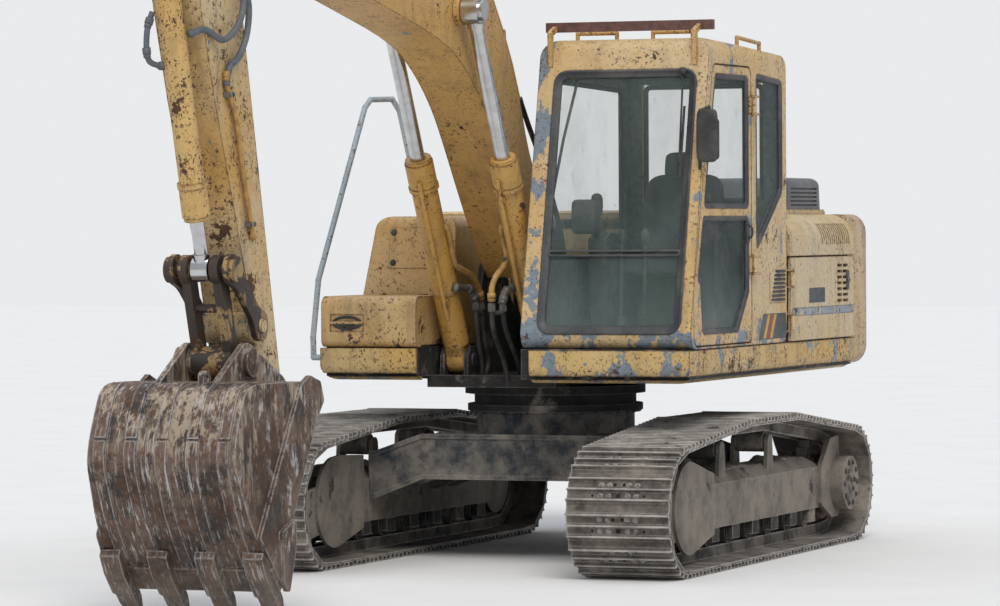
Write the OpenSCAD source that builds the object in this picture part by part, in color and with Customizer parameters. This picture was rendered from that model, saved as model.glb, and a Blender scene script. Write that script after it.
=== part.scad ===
// Crawler excavator, about 18 tonnes, parked with its bucket over the ground.
// Millimetres. +X is the machine's left (cab side), -Y its front, +Z up.
// Profiles are drawn as (forward, up) from the swing axis on the ground.

/* [Tracks] */
// Length over the tracks
track_l = 3920; // [3600:10:4600]
// Distance between the track centres
track_gauge = 2160; // [2000:10:2500]
// Width of a track shoe
shoe_w = 600; // [450:10:700]
// Height over the track at the idler
idler_h = 735; // [700:5:850]
// Height over the track at the sprocket
sprocket_h = 715; // [700:5:800]
// Height over the track at the carrier rollers
hump_h = 835; // [800:5:880]
// Shoes on one track
shoe_count = 45; // [41:1:49]
// Thickness of a shoe plate
shoe_t = 12; // [8:1:20]
// Height of a grouser over the shoe plate
grouser_h = 26; // [12:1:36]
// Height of the chain rails
chain_h = 70; // [50:5:90]
// Radius of the bottom rollers
roller_r = 78; // [60:1:85]
// Bottom rollers on one side
roller_count = 7; // [5:1:8]

/* [Upper structure] */
// Underside of the revolving frame
deck_z = 1010; // [960:5:1060]
// Underside of the yellow side skirts
skirt_z = 1058; // [1030:2:1100]
// Top of the skirts, where cab and doors begin
seam_z = 1250; // [1200:5:1300]
// Outer face of the cab, from the swing axis
cab_x = 1263; // [1200:1:1330]
// Width of the cab
cab_w = 1020; // [960:5:1060]
// Front of the cab at its floor
cab_front = 1235; // [1150:5:1300]
// Back of the cab
cab_back = -560; // [-620:5:-500]
// Top of the cab roof
cab_top = 3015; // [2900:5:3100]
// How far the cab front leans back up to the roof
cab_rake = 390; // [250:5:450]
// Thickness of the cab walls
cab_wall = 45; // [35:1:60]
// Radius of the tail swing
tail_r = 2480; // [2300:10:2700]
// Half width of the engine house
house_x = 1275; // [1200:5:1330]
// Top of the engine house
house_z = 2010; // [1900:5:2100]
// Thickness of the body panels
panel_t = 8; // [6:1:12]
// Front of the tool box
box_front = 910; // [850:5:980]
// Outer face of the tool box, from the swing axis
box_x = 1117; // [1080:1:1160]
// Top of the tool box lid
box_z = 1545; // [1500:5:1600]

/* [Working equipment] */
// Offset of the boom from the swing axis, to the machine's right
boom_off = 150; // [140:1:170]
// Width of the boom box
boom_w = 330; // [300:2:340]
// Width of the arm box
arm_w = 260; // [240:2:270]
// Distance from arm pin to bucket pin
arm_l = 2665; // [2600:5:2750]
// Width of the bucket at its lip
bucket_w = 900; // [860:10:1000]
// Width of the bucket at its back
bucket_back = 800; // [780:10:850]
// Thickness of the bucket plates
bucket_t = 20; // [14:1:26]
// Teeth on the bucket
tooth_count = 4; // [3:1:5]
// Outer diameter of the boom cylinders
boom_cyl_d = 152; // [130:1:156]
// Outer diameter of the arm cylinder
arm_cyl_d = 140; // [120:1:150]
// Outer diameter of the bucket cylinder
bucket_cyl_d = 128; // [110:1:136]

/* [Hidden] */
$fn = 48;

// Colours
yellow = [0.80, 0.62, 0.32];
steel_dark = [0.20, 0.18, 0.17];
mud = [0.45, 0.40, 0.35];
worn_steel = [0.50, 0.47, 0.44];
chrome_grey = [0.75, 0.76, 0.78];
glass_green = [0.70, 0.82, 0.78, 0.5];
black = [0.12, 0.12, 0.13];

// Clearances: between seated pieces, in true hinges, and beside moving pieces
seat = 0.3;
pin_gap = 0.5;
side_gap = 7;

// Pins of the working equipment, as [forward, up]
boom_x = -boom_off;
boom_foot = [180, 1800];
boom_tip = [4830, 3650];
ram_foot = [500, 1168];
ram_eye = [1573, 3156];
arm_ram_foot = [2150, 3850];
arm_dir = 253.55;

// A point of the arm: u along the arm from its top pin, v to its front
function arm_pt(u, v) = boom_tip + u * [cos(arm_dir), sin(arm_dir)]
    + v * [-sin(arm_dir), cos(arm_dir)];
bucket_pin = arm_pt(arm_l, 0);
rocker_pin = arm_pt(arm_l - 399, 88);
link_top = arm_pt(arm_l - 771, 333);
link_eye = arm_pt(arm_l - 284, 323);
bucket_ram_foot = arm_pt(394, 325);
arm_ram_eye = arm_pt(-780, -33);

ram_dx = 260;
boom_half = boom_w / 2;
arm_half = arm_w / 2;
ear_in = arm_half + 10;
ear_t = 32;
rocker_in = arm_half + 8;
rocker_t = 28;

// The swing axis lies this far behind the middle of the machine's length
bucket_front = arm_pt(arm_l, 0)[0] + 1062;
swing_y = (bucket_front - tail_r) / 2;

// Frames and small shapes

module at_swing() {
    translate([0, swing_y, 0]) children();
}

// Left side as drawn, or mirrored to the right side
module on_side(s) {
    if (s > 0)
        children();
    else
        mirror([1, 0, 0]) children();
}

// A 2D shape of (forward, up) points, as a slab across the machine at x
module slab(x, w) {
    translate([x, 0, 0]) rotate([90, 0, -90]) linear_extrude(w, center = true) children();
}

// A pair of slabs on both sides of x
module slabs(x, inner, t) {
    for (s = [-1, 1]) slab(x + s * (inner + t / 2), t) children();
}

// A round bar across the machine from x0 to x1 at the point p
module bar(p, r, x0, x1) {
    translate([x0, -p[0], p[1]]) rotate([0, 90, 0]) cylinder(h = x1 - x0, r = r);
}

// A box from [x, forward, up] a to b
module block(a, b) {
    translate([a[0], -b[1], a[2]]) cube([b[0] - a[0], b[1] - a[1], b[2] - a[2]]);
}

// A box given as [x0, x1, forward0, forward1, up0, up1]
module span(s) {
    block([s[0], s[2], s[4]], [s[1], s[3], s[5]]);
}

// A straight tube between two [x, forward, up] points
module tube(a, b, r) {
    d = [b[0] - a[0], a[1] - b[1], b[2] - a[2]];
    l = norm(d);
    translate([a[0], -a[1], a[2]])
        rotate([0, acos(d[2] / l), atan2(d[1], d[0])])
            cylinder(h = l, r = r, $fn = 20);
}

// A bent tube through [x, forward, up] points with a ball at each bend
module bent_tube(points, r) {
    last = len(points) - 1;
    for (i = [0:last - 1]) tube(points[i], points[i + 1], r);
    if (last > 1)
        for (i = [1:last - 1])
            translate([points[i][0], -points[i][1], points[i][2]]) sphere(r = r + 1, $fn = 20);
}

module round_2d(r) {
    offset(r = r, $fn = 32) offset(delta = -r) children();
}

module fillet_2d(r) {
    offset(r = -r, $fn = 32) offset(delta = r) children();
}

module disc_2d(p, r) {
    translate(p) circle(r = r);
}

// Upright hinge at [x, forward, up]: a pin on two leaves that reach "back" along the panel
hinge_h = 90;
pin_r = 7;
module hinge_pin(c, back, foot_x) {
    for (z = [c[2] - 12.5, c[2] + hinge_h + 0.5])
        translate([0, 0, z]) linear_extrude(12) {
            translate([c[0], -c[1]]) circle(r = 14);
            polygon([[c[0] - 14, -c[1]], [c[0] + 14, -c[1]], [c[0] + 14, -back[1]],
                     [foot_x, -back[1]], [foot_x, -back[0]], [c[0] - 14, -back[0]]]);
        }
    translate([c[0], -c[1], c[2] - 12]) cylinder(r = pin_r, h = hinge_h + 24);
}

// Knuckle of the moving panel on the pin, with its leaf to the panel's outer face
module hinge_knuckle(c, reach, face_x) {
    difference() {
        translate([0, 0, c[2]]) linear_extrude(hinge_h) {
            translate([c[0], -c[1]]) circle(r = 14);
            polygon([[face_x - 1, -reach], [c[0] - 6, -reach], [c[0] - 6, -c[1]],
                     [c[0] - 14, -c[1]], [face_x - 1, -reach + sign(reach - c[1]) * 30]]);
        }
        translate([c[0], -c[1], c[2] - 1]) cylinder(r = pin_r + pin_gap, h = hinge_h + 2);
    }
}

// Track: a belt round the idler, over the two carrier rollers and round the sprocket

plate_n = shoe_t + grouser_h;
front_r = idler_h / 2 - plate_n;
back_r = sprocket_h / 2 - plate_n;
front_p = track_l / 2 - idler_h / 2;
back_p = -(track_l / 2 - sprocket_h / 2);
front_z = idler_h / 2;
back_z = sprocket_h / 2;
carrier_r = 62;
carrier_ps = [470, -430];
hump_r = carrier_r + 2 + chain_h;
carrier_z = hump_h - plate_n - hump_r;

// Wheels under the belt as [forward, up, radius], from the idler to the back
wheels = [[front_p, front_z, front_r], [carrier_ps[0], carrier_z, hump_r],
          [carrier_ps[1], carrier_z, hump_r], [back_p, back_z, back_r]];
spans = [for (i = [0:2]) [wheels[i + 1][0] - wheels[i][0], wheels[i + 1][1] - wheels[i][1]]];
// Angle of the belt's outward normal before and after each wheel
normals = concat([-90], [for (i = [0:2])
    (atan2(spans[i][1], spans[i][0]) + 360) % 360
        - acos((wheels[i][2] - wheels[i + 1][2]) / norm(spans[i]))], [270]);
lines = [for (i = [0:2])
    sqrt(pow(norm(spans[i]), 2) - pow(wheels[i][2] - wheels[i + 1][2], 2))];
arcs = [for (i = [0:3]) wheels[i][2] * (normals[i + 1] - normals[i]) * PI / 180];
run = front_p - back_p;
belt_l = run + arcs[0] + lines[0] + arcs[1] + lines[1] + arcs[2] + lines[2] + arcs[3];
pitch = belt_l / shoe_count;

// Place on the belt past wheel i: [forward, up, angle of the outward normal]
function belt_at(s, i) =
    let (w = wheels[i], turned = i == 3 || s < arcs[i],
         a = turned ? normals[i] + s / w[2] * 180 / PI : normals[i + 1],
         t = turned ? 0 : s - arcs[i])
    i == 3 || s < arcs[i] + lines[i]
        ? [w[0] + w[2] * cos(a) - t * sin(a), w[1] + w[2] * sin(a) + t * cos(a), a]
        : belt_at(s - arcs[i] - lines[i], i + 1);
// Place on the belt at the length s from the back end of the ground run
function belt(s) = s < run ? [back_p + s, front_z - front_r, -90] : belt_at(s - run, 0);

// A point beside the belt: t along it, n outward, from a place b
function beside(b, t, n) = [b[0] + n * cos(b[2]) - t * sin(b[2]),
                            b[1] + n * sin(b[2]) + t * cos(b[2])];

// One shoe seen from the side, as [along, outward] points with three grousers
grouser_step = pitch * 0.33;
shoe_profile = concat(
    [[-pitch * 0.47, 0]],
    [for (k = [-1, 0, 1], q = [[-9, shoe_t], [0, plate_n], [9, shoe_t]])
        [k * grouser_step + q[0], q[1]]]);

function shoe_ring() = [for (i = [0:shoe_count - 1], q = shoe_profile)
    beside(belt((i + 0.5) * pitch), q[0], q[1])];
function belt_ring(n) = [for (i = [0:shoe_count - 1]) beside(belt((i + 0.5) * pitch), 0, n)];

module track(x) {
    color(mud) {
        slab(x, shoe_w) difference() {
            polygon(shoe_ring());
            polygon(belt_ring(-4));
        }
        slabs(x, 42, 36) difference() {
            polygon(belt_ring(-3));
            polygon(belt_ring(-chain_h));
        }
    }
}

rail_z = front_z - front_r + chain_h;
frame_low = rail_z + roller_r + 34;
frame_floor = rail_z + 2 * roller_r + 12;
roller_first = front_p - 560;
roller_last = back_p + 420;
roller_step = (roller_first - roller_last) / (roller_count - 1);
carrier_in = 92;

module rollers(x) {
    color(steel_dark) {
        for (i = [0:roller_count - 1]) {
            c = [roller_last + i * roller_step, rail_z + roller_r + seat];
            bar(c, roller_r, x - 95, x - 40);
            bar(c, roller_r, x + 40, x + 95);
            bar(c, roller_r - 16, x - 41, x + 41);
            bar(c, 33, x - 101, x + 101);
            for (e = [-1, 1])
                span([x + e * 120 - 20, x + e * 120 + 20, c[0] - 62, c[0] + 62,
                      c[1] - 46, frame_low - seat]);
        }
        for (p = carrier_ps) {
            c = [p, carrier_z];
            bar(c, carrier_r, x - 84, x + 84);
            bar(c, 30, x - carrier_in + seat, x + carrier_in - seat);
        }
    }
}

module idler(x) {
    rail_r = (front_r - chain_h) * cos(90 * pitch / (PI * front_r)) - seat;
    color(worn_steel) {
        difference() {
            bar([front_p, front_z], rail_r, x - 80, x + 80);
            bar([front_p, front_z], rail_r - 45, x - 81, x - 30);
            bar([front_p, front_z], rail_r - 45, x + 30, x + 81);
        }
        bar([front_p, front_z], rail_r + 22, x - 36, x + 36);
        bar([front_p, front_z], 95, x - 98, x + 98);
        bar([front_p, front_z], 45, x - 128, x + 128);
    }
}

// Sprocket wheel with its final drive, whose motor cover faces outward
tooth_n = 22;
drum_r = 165;
module sprocket(x, out) {
    rail_r = back_r - chain_h;
    tip = rail_r + 44;
    root = rail_r + 8;
    step = 360 / tooth_n;
    color(worn_steel) {
        slab(x, 60) difference() {
            translate([back_p, back_z])
                polygon([for (i = [0:tooth_n - 1], q = [[-0.32, root], [-0.12, tip], [0.12, tip],
                                                    [0.32, root]])
                    q[1] * [cos((i + q[0]) * step), sin((i + q[0]) * step)]]);
            disc_2d([back_p, back_z], drum_r - 20);
        }
    }
    color(mud) {
        bar([back_p, back_z], rail_r - 26, x - 75, x + 75);
        bar([back_p, back_z], drum_r, x + out * 74 - (out < 0 ? 185 : 0),
            x + out * 74 + (out > 0 ? 185 : 0));
        bar([back_p, back_z], 60, x + out * 258 - (out < 0 ? 14 : 0),
            x + out * 258 + (out > 0 ? 14 : 0));
    }
}

// Side frame of a track: box with a sloped top, idler yoke, final drive plate
frame_half = 145;
frame_top = 535;
yoke_front = front_p + 130;
module track_frame(x, out) {
    color(mud) {
        difference() {
            union() {
                slab(x, 2 * frame_half) polygon([
                    [back_p + 300, frame_low], [front_p - 330, frame_low],
                    [front_p - 330, frame_top - 40], [front_p - 420, frame_top],
                    [back_p + 420, frame_top], [back_p + 300, frame_top - 40]]);
                slabs(x, frame_half - 26, 25) fillet_2d(60) polygon([
                    [front_p - 420, frame_low], [front_p - 60, frame_low - 60],
                    [yoke_front - 60, front_z - 110], [yoke_front, front_z - 20],
                    [yoke_front, front_z + 60], [front_p - 330, frame_top - 60],
                    [front_p - 420, frame_top - 20]]);
            }
            translate([x, 0, 0]) for (s = [-1, 1])
                translate([s * (frame_half + 12), 0, frame_top + 12]) rotate([0, s * 45, 0])
                    cube([90, 2 * track_l, 130], center = true);
            span([x - 98, x + 98, back_p + 200, front_p - 100, frame_low - 100, frame_floor]);
            span([x - 60, x + 60, back_p + 200, back_p + 355, frame_low, frame_top + 1]);
            bar([front_p, front_z], 45 + seat, x - 300, x + 300);
        }
        difference() {
            slab(x + out * 160, 28) round_2d(30) polygon([
                [back_p - 30, 150], [back_p + 120, 150], [back_p + 330, frame_low + 20],
                [back_p + 330, frame_top - 60], [back_p + 150, frame_top + 100],
                [back_p - 30, frame_top + 115]]);
            bar([back_p, back_z], drum_r + seat, x + out * 160 - 20, x + out * 160 + 20);
        }
        span([x + out * 137 - 37, x + out * 137 + 37, back_p + 298, back_p + 331,
              frame_low + 30, frame_top - 80]);
        // Guard plates beside the idler, the inner one taller
        for (s = [-1, 1])
            slab(x + s * (frame_half + 9), 20) hull() {
                disc_2d([front_p - 410, front_z - 5], 262);
                translate([front_p - 830, 190])
                    square([60, (s == out ? frame_top : frame_top + 80) - 190]);
                translate([front_p - 500, front_z])
                    square([20, (s == out ? frame_top : frame_top + 95) - front_z]);
            }
        for (p = carrier_ps)
            slabs(x, carrier_in, 24) hull() {
                disc_2d([p, carrier_z], 42);
                translate([p - 60, frame_top - 40]) square([120, 10]);
            }
    }
}

// Car body: centre box under the ring, with a bowed flanged beam to the frames, front and back
beam_reach = 640;
module beam_2d(grow) {
    half = track_gauge / 2 - frame_half - seat;
    offset(delta = grow) polygon([
        [-half, 370], [-half + 40, 370], [-600, 485], [600, 485], [half - 40, 370], [half, 370],
        [half, 613], [half - 40, 620], [600, 722], [-600, 722], [-half + 40, 620], [-half, 613]]);
}

ring_z = deck_z - 150;
module car_body() {
    half = track_gauge / 2 - frame_half - seat;
    color(mud) at_swing() difference() {
        union() {
            for (s = [-1, 1]) {
                translate([0, s * (beam_reach - 160), 0]) rotate([90, 0, 0])
                    linear_extrude(300, center = true) beam_2d(0);
                for (e = [-1, 1])
                    intersection() {
                        translate([0, s * (beam_reach - 160) + e * 148, 0]) rotate([90, 0, 0])
                            linear_extrude(24, center = true) difference() {
                                beam_2d(14);
                                beam_2d(-12);
                            }
                        translate([-half, -track_l / 2, 0]) cube([2 * half, track_l, ring_z]);
                    }
            }
            translate([-480, -beam_reach + 200, 487]) cube([960, 2 * beam_reach - 400, 233]);
            translate([0, 0, 486]) cylinder(r = 470, h = ring_z - 486 - seat, $fn = 96);
        }
        translate([0, 0, 400]) cylinder(r = 160, h = 600);
    }
}

module slew_ring() {
    color(steel_dark) at_swing() difference() {
        union() {
            translate([0, 0, ring_z]) cylinder(r = 520, h = 40, $fn = 96);
            translate([0, 0, ring_z + 39]) cylinder(r = 480, h = deck_z - ring_z - 87.5, $fn = 96);
        }
        translate([0, 0, ring_z - 1]) cylinder(r = 380, h = 200, $fn = 96);
    }
}

// Revolving frame: slew seat, deck, side boxes under cab and tank, boom brackets, ram lugs
frame_back = -tail_r + 560;
house_front = cab_back - 20;
module revolving_frame() {
    bracket_in = boom_half + side_gap;
    lug_t = 26;
    wall = 2 * panel_t + seat;
    box_low = skirt_z + 20 + seat;
    color(steel_dark) at_swing() {
        translate([0, 0, deck_z - 48]) difference() {
            cylinder(r = 535, h = 49, $fn = 96);
            translate([0, 0, -1]) cylinder(r = 400, h = 60, $fn = 96);
        }
        difference() {
            union() {
                span([-560, 240, frame_back, 640, deck_z, box_low + 2]);
                span([-box_x + 110, cab_x - 110, frame_back, 600, skirt_z, box_low + 1]);
                span([233, cab_x - wall, house_front - 100, cab_front - wall - 40,
                      box_low, seam_z - seat]);
                span([-box_x - 8 + wall, -530, house_front - 100, box_front - wall - 40,
                      box_low, seam_z - seat]);
                span([-cab_x + wall, cab_x - wall, frame_back, house_front - wall - 1,
                      box_low, seam_z - seat]);
            }
            translate([0, 0, deck_z - 1]) cylinder(r = 170, h = 100);
        }
        difference() {
            slabs(boom_x, bracket_in, 34) fillet_2d(80) polygon([
                [house_front + 2, deck_z + 30], [400, deck_z + 30], [400, 1500], [320, 1740],
                [300, 1860], [230, 1935], [120, 1935], [20, 1860], [-120, 1500],
                [house_front + 2, 1260]]);
            bar(boom_foot, 49, boom_x - 400, boom_x + 400);
        }
        bar(boom_foot, 50, boom_x - bracket_in - 50, boom_x + bracket_in + 50);
        for (s = [-1, 1]) {
            lug_x = boom_x + s * ram_dx;
            difference() {
                slabs(lug_x, 62, lug_t) round_2d(20) polygon([
                    [240, deck_z], [600, deck_z], [590, 1190], [550, 1250], [450, 1250],
                    [240, 1180]]);
                bar(ram_foot, 37, lug_x - 120, lug_x + 120);
            }
            bar(ram_foot, 38, lug_x - 96, lug_x + 96);
        }
    }
}

// Skirts: folded plates beside and under the edges of the side boxes
skirt_round = 90;
module skirt(x_out, x_in, front, back) {
    s = x_out > 0 ? 1 : -1;
    h = seam_z - 6 - skirt_z;
    t = 2 * panel_t;
    lo = min(x_in, x_out);
    hi = max(x_in, x_out);
    color(yellow) at_swing() difference() {
        intersection() {
            slab((lo + hi) / 2, hi - lo) hull() {
                translate([back, skirt_z]) square([1, h]);
                translate([front - skirt_round, skirt_z + skirt_round]) circle(r = skirt_round);
                translate([front - 1, seam_z - 30]) square([1, 24]);
            }
            rotate([90, 0, 0]) linear_extrude(2 * tail_r, center = true) hull() {
                translate([x_in - (s > 0 ? 0 : 1), skirt_z]) square([1, h]);
                translate([x_out - s * skirt_round, skirt_z + skirt_round]) circle(r = skirt_round);
                translate([x_out - (s > 0 ? 1 : 0), seam_z - 30]) square([1, 24]);
            }
        }
        span([lo - 1 + (s > 0 ? 0 : 1 + t), hi + 1 - (s > 0 ? 1 + t : 0),
              back - 1, front - t, skirt_z + 20, seam_z + 1]);
        span([lo - 1 + (s > 0 ? 0 : 1 + 90), hi + 1 - (s > 0 ? 1 + 90 : 0),
              back - 1, front - 90, skirt_z - 1, seam_z]);
    }
}

module skirts_right() {
    skirt(-box_x - 8, tank_in, box_front, house_front + 1);
    skirt(-cab_x, -box_x + 7, house_front, frame_back);
}

// Counterweight: rounded block that closes the tail, bowed in plan
module counterweight() {
    w = house_x + 15;
    front = frame_back - seat;
    color(yellow) at_swing() difference() {
        intersection() {
            rotate([90, 0, 0]) linear_extrude(2 * tail_r + 100, center = true)
                round_2d(120) translate([-w, skirt_z + 20]) square([2 * w, house_z - skirt_z - 20]);
            translate([0, 0, skirt_z]) linear_extrude(house_z - skirt_z) intersection() {
                circle(r = tail_r, $fn = 128);
                round_2d(160) translate([-w, -front]) square([2 * w, tail_r]);
                translate([-w, -front + 0]) square([2 * w, tail_r]);
            }
            slab(0, 2 * w + 10) hull() {
                translate([-tail_r + 110, house_z - 110]) circle(r = 110);
                translate([-tail_r + 160, skirt_z + 200]) circle(r = 160);
                translate([front - 1, skirt_z]) square([1, house_z - skirt_z]);
            }
        }
        for (s = [-1, 1]) translate([s * 700, -front + 250, house_z - 90])
            cylinder(r = 20, h = 100);
    }
}

eng_x = [-420, 480];
module engine_block() {
    color(steel_dark) at_swing()
        span([eng_x[0], eng_x[1], frame_back + 160, house_front - 380, seam_z, house_z - 160]);
}

// Engine house: bulkheads, side rails and roof shoulders that carry the doors and the hood
hood_x = 1090;
module engine_house() {
    t = 40;
    top = house_z;
    color(yellow) at_swing() {
        // Bulkhead behind the cab and the tank
        difference() {
            span([-house_x + 40, house_x - 40, house_front - t, house_front, seam_z, top - 80]);
            span([-500, 500, house_front - t - 1, house_front + 1, seam_z + 60, top - 240]);
        }
        // Rounded roof shoulders beside the hood
        for (s = [-1, 1])
            intersection() {
                span([s > 0 ? hood_x + 6 : -house_x, s > 0 ? house_x : -hood_x - 6,
                      frame_back, house_front, top - 250, top]);
                difference() {
                    rotate([90, 0, 0]) linear_extrude(2 * tail_r, center = true) difference() {
                        house_2d(0);
                        house_2d(panel_t * 2);
                    }
                    for (i = [0:13])
                        span([s * house_x - 90, s * house_x + 90,
                              frame_back + 110 + i * 43, frame_back + 130 + i * 43,
                              top - 180, top - 60]);
                }
            }
        // Lower side rails
        for (s = [-1, 1])
            span([s > 0 ? house_x - 115 : -house_x + 50, s > 0 ? house_x - 50 : -house_x + 115,
                  frame_back, house_front - t + 1, seam_z, seam_z + 45]);
        // Rear cross frame against the counterweight
        difference() {
            span([-house_x + 40, house_x - 40, frame_back, frame_back + 30, seam_z, top - 80]);
            span([-700, 700, frame_back - 1, frame_back + 31, seam_z + 60, top - 160]);
        }
        hood_posts();
        for (s = [-1, 1], z = door_hinge_z)
            on_side(s) hinge_pin([side_hinge[0], side_hinge[1], z],
                [house_front - 13, house_front - 1], house_x - 60);
    }
}

module house_2d(inset) {
    offset(delta = -inset) hull() {
        for (s = [-1, 1]) translate([s * (house_x - 170), house_z - 170]) circle(r = 170);
        translate([-house_x, seam_z]) square([2 * house_x, 10]);
    }
}

// Hood over the engine, hinged at its rear edge on two posts of the house
hood_back = frame_back + 20;
hood_pin = [hood_back + 32, house_z - 10];
hood_hinges = [-600, 600];
module hood_posts() {
    for (x = hood_hinges)
        slab(x, 30) union() {
            disc_2d(hood_pin, 14);
            polygon([[frame_back + 2, house_z - 110], [frame_back + 28, house_z - 110],
                     hood_pin + [20, -40], hood_pin + [14, 0], hood_pin + [-14, 0],
                     hood_pin + [-14, -24], [frame_back + 2, house_z - 80]]);
        }
    for (x = hood_hinges) bar(hood_pin, 8, x - 34, x + 34);
}

module engine_hood() {
    color(yellow) at_swing() {
        difference() {
            slab(0, 2 * hood_x) polygon([
                [hood_back, house_z - 24], [hood_back, house_z + 14],
                [hood_back + 32, house_z + 30], [house_front - 60, house_z + 30],
                [house_front - 28, house_z + 14], [house_front - 28, house_z - 24]]);
            slab(0, 2 * hood_x - 4 * panel_t) polygon([
                [hood_back + 16, house_z - 25], [hood_back + 16, house_z + 14],
                [house_front - 44, house_z + 14], [house_front - 44, house_z - 25]]);
            for (x = hood_hinges)
                span([x - 40, x + 40, hood_back - 1, hood_back + 17, house_z - 25, house_z + 4]);
        }
        for (x = hood_hinges)
            difference() {
                slabs(x, 17, 14) union() {
                    disc_2d(hood_pin, 14);
                    translate(hood_pin - [14, 0]) square([28, 25]);
                }
                bar(hood_pin, 8 + pin_gap, x - 50, x + 50);
            }
    }
}

// Louvred intake box on the left of the hood
intake_top = house_z + 224;
intake_ps = [frame_back + 80, house_front - 600];
module intake_box() {
    low = house_z + 30 + seat;
    x1 = hood_x - 15;
    color(black) at_swing() difference() {
        intersection() {
            slab(x1 - 275, 550) hull() {
                translate([intake_ps[0], low]) square([intake_ps[1] - intake_ps[0], 10]);
                for (p = [intake_ps[0] + 70, intake_ps[1] - 90])
                    translate([p, intake_top - 50]) circle(r = 50);
            }
            rotate([90, 0, 0]) linear_extrude(2 * tail_r, center = true)
                round_2d(50) translate([x1 - 550, low - 100]) square([550, intake_top - low + 100]);
        }
        for (i = [0:4])
            span([x1 - 14, x1 + 10, intake_ps[0] + 60, intake_ps[1] - 60,
                  low + 22 + i * 25, low + 33 + i * 25]);
    }
}

// Side doors behind the cab (left) and over the pumps (right), with louvres
side_door_z = house_z - 258;
side_door_front = house_front - 26;
side_hinge = [house_x + 12, house_front - 20];
door_hinge_z = [seam_z + 70, side_door_z - 170];
module side_panel() {
    x = house_x - 3;
    back = frame_back + 8;
    for (z = door_hinge_z)
        hinge_knuckle([side_hinge[0], side_hinge[1], z], side_door_front - 60, x);
    difference() {
        union() {
            span([x - panel_t * 2, x, back, side_door_front, seam_z + 2, side_door_z]);
            span([x - 30, x - 15, back + 36, side_door_front - 40, seam_z + 20,
                  side_door_z - 20]);
        }
        for (row = [0:6], column = [0, 1])
            span([x - 60, x + 60, back + 130 + column * 120, back + 230 + column * 120,
                  side_door_z - 280 + row * 36, side_door_z - 266 + row * 36]);
    }
}

module side_door(s) {
    color(yellow) at_swing() on_side(s) side_panel();
}

// Fuel tank behind the tool box, with its outer side leaning in
tank_front = 340;
tank_in = -520;
module fuel_tank() {
    color(yellow) at_swing() intersection() {
        slab(0, 2 * box_x + 100) hull() {
            translate([house_front + seat, seam_z]) square([10, house_z - seam_z]);
            translate([tank_front - 10, seam_z]) square([10, 60]);
            translate([tank_front - 130, house_z - 60]) circle(r = 60);
        }
        rotate([90, 0, 0]) linear_extrude(2 * tail_r, center = true) hull() {
            translate([-box_x, seam_z]) square([10, 200]);
            translate([-box_x + 170, house_z - 90]) circle(r = 90);
            translate([tank_in - 70, house_z - 70]) circle(r = 70);
            translate([tank_in - 10, seam_z]) square([10, 50]);
        }
    }
}

// Tool box: an open tray whose lid carries the front face and the top
box_in = -520;
box_back = tank_front + 5;
module box_2d(inset) {
    offset(delta = -inset) hull() {
        translate([box_back + 8, seam_z]) square([10, box_z - seam_z]);
        translate([box_front - 60, box_z - 60]) circle(r = 60);
        translate([box_front - 40, seam_z + 40]) circle(r = 40);
    }
}

module tool_box() {
    t = panel_t * 2;
    color(yellow) at_swing() {
        span([-box_x + 26, box_in - 26, box_back + seat, box_front - 58, seam_z, seam_z + 12]);
        span([-box_x + 26, box_in - 26, box_back + seat, box_back + t, seam_z + 11, box_z - 30]);
        for (x = [-box_x + 26, box_in - 26 - t])
            slab(x + t / 2, t) hull() {
                box_2d(26);
                translate([box_back + t, seam_z + 1]) square([box_front - 100 - box_back, 30]);
            }
        for (x = lid_hinges) {
            slabs(x, 17, 14) union() {
                disc_2d(lid_pin, 12);
                polygon([[box_back + 1, box_z - 60], [box_back + 8, box_z - 60],
                         [box_back + 5, box_z - 16], lid_pin + [8, 4], lid_pin + [-8, -6]]);
            }
            bar(lid_pin, pin_r, x - 31, x + 31);
        }
    }
}

lid_pin = [box_back - 7, box_z - 6];
lid_hinges = [-950, -690];
module tool_box_lid() {
    t = panel_t * 2;
    w = box_x + box_in;
    color(yellow) at_swing() {
        difference() {
            slab(-(box_x - box_in) / 2, w) box_2d(0);
            slab(-(box_x - box_in) / 2, w - 2 * t) difference() {
                box_2d(t);
            }
            slab(-(box_x - box_in) / 2, w + 10)
                translate([box_back - 100, seam_z - 20]) square([box_front - box_back + 20, 30]);
            // The back and the floor stay open
            slab(-(box_x - box_in) / 2, w - 2 * t)
                translate([box_back - 10, seam_z - 10]) square([60, box_z - seam_z - 10]);
            slab(-(box_x - box_in) / 2, w - 2 * t)
                translate([box_back + 10, seam_z - 10]) square([box_front - box_back - 60, 60]);
            // recess for the handle
            span([-1060, -850, box_front - 8, box_front + 10, seam_z + 90, seam_z + 190]);
        }
        slab(-955, 210) translate([box_front - 3, seam_z + 140]) circle(r = 10);
        for (x = lid_hinges)
            difference() {
                slab(x, 30) union() {
                    disc_2d(lid_pin, 12);
                    translate(lid_pin + [0, 2]) square([60, 10]);
                }
                bar(lid_pin, pin_r + pin_gap, x - 40, x + 40);
            }
    }
}

// Cab: side profile leaning back at the front, rounded seen from the front
cab_in = cab_x - cab_w;
front_a = atan(cab_rake / (cab_top - seam_z));
function cab_front_at(z) = cab_front - (z - seam_z) * tan(front_a);
cab_drop = 70;

module cab_side_2d(inset) {
    offset(delta = -inset) round_2d(90) polygon([
        [cab_back, seam_z], [cab_front, seam_z], [cab_front - cab_rake, cab_top],
        [cab_back, cab_top - cab_drop]]);
}

module cab_end_2d(inset) {
    offset(delta = -inset) hull() {
        for (x = [cab_in + 110, cab_x - 110]) translate([x, cab_top - 110]) circle(r = 110);
        translate([cab_in, seam_z]) square([cab_w, 10]);
    }
}

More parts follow.
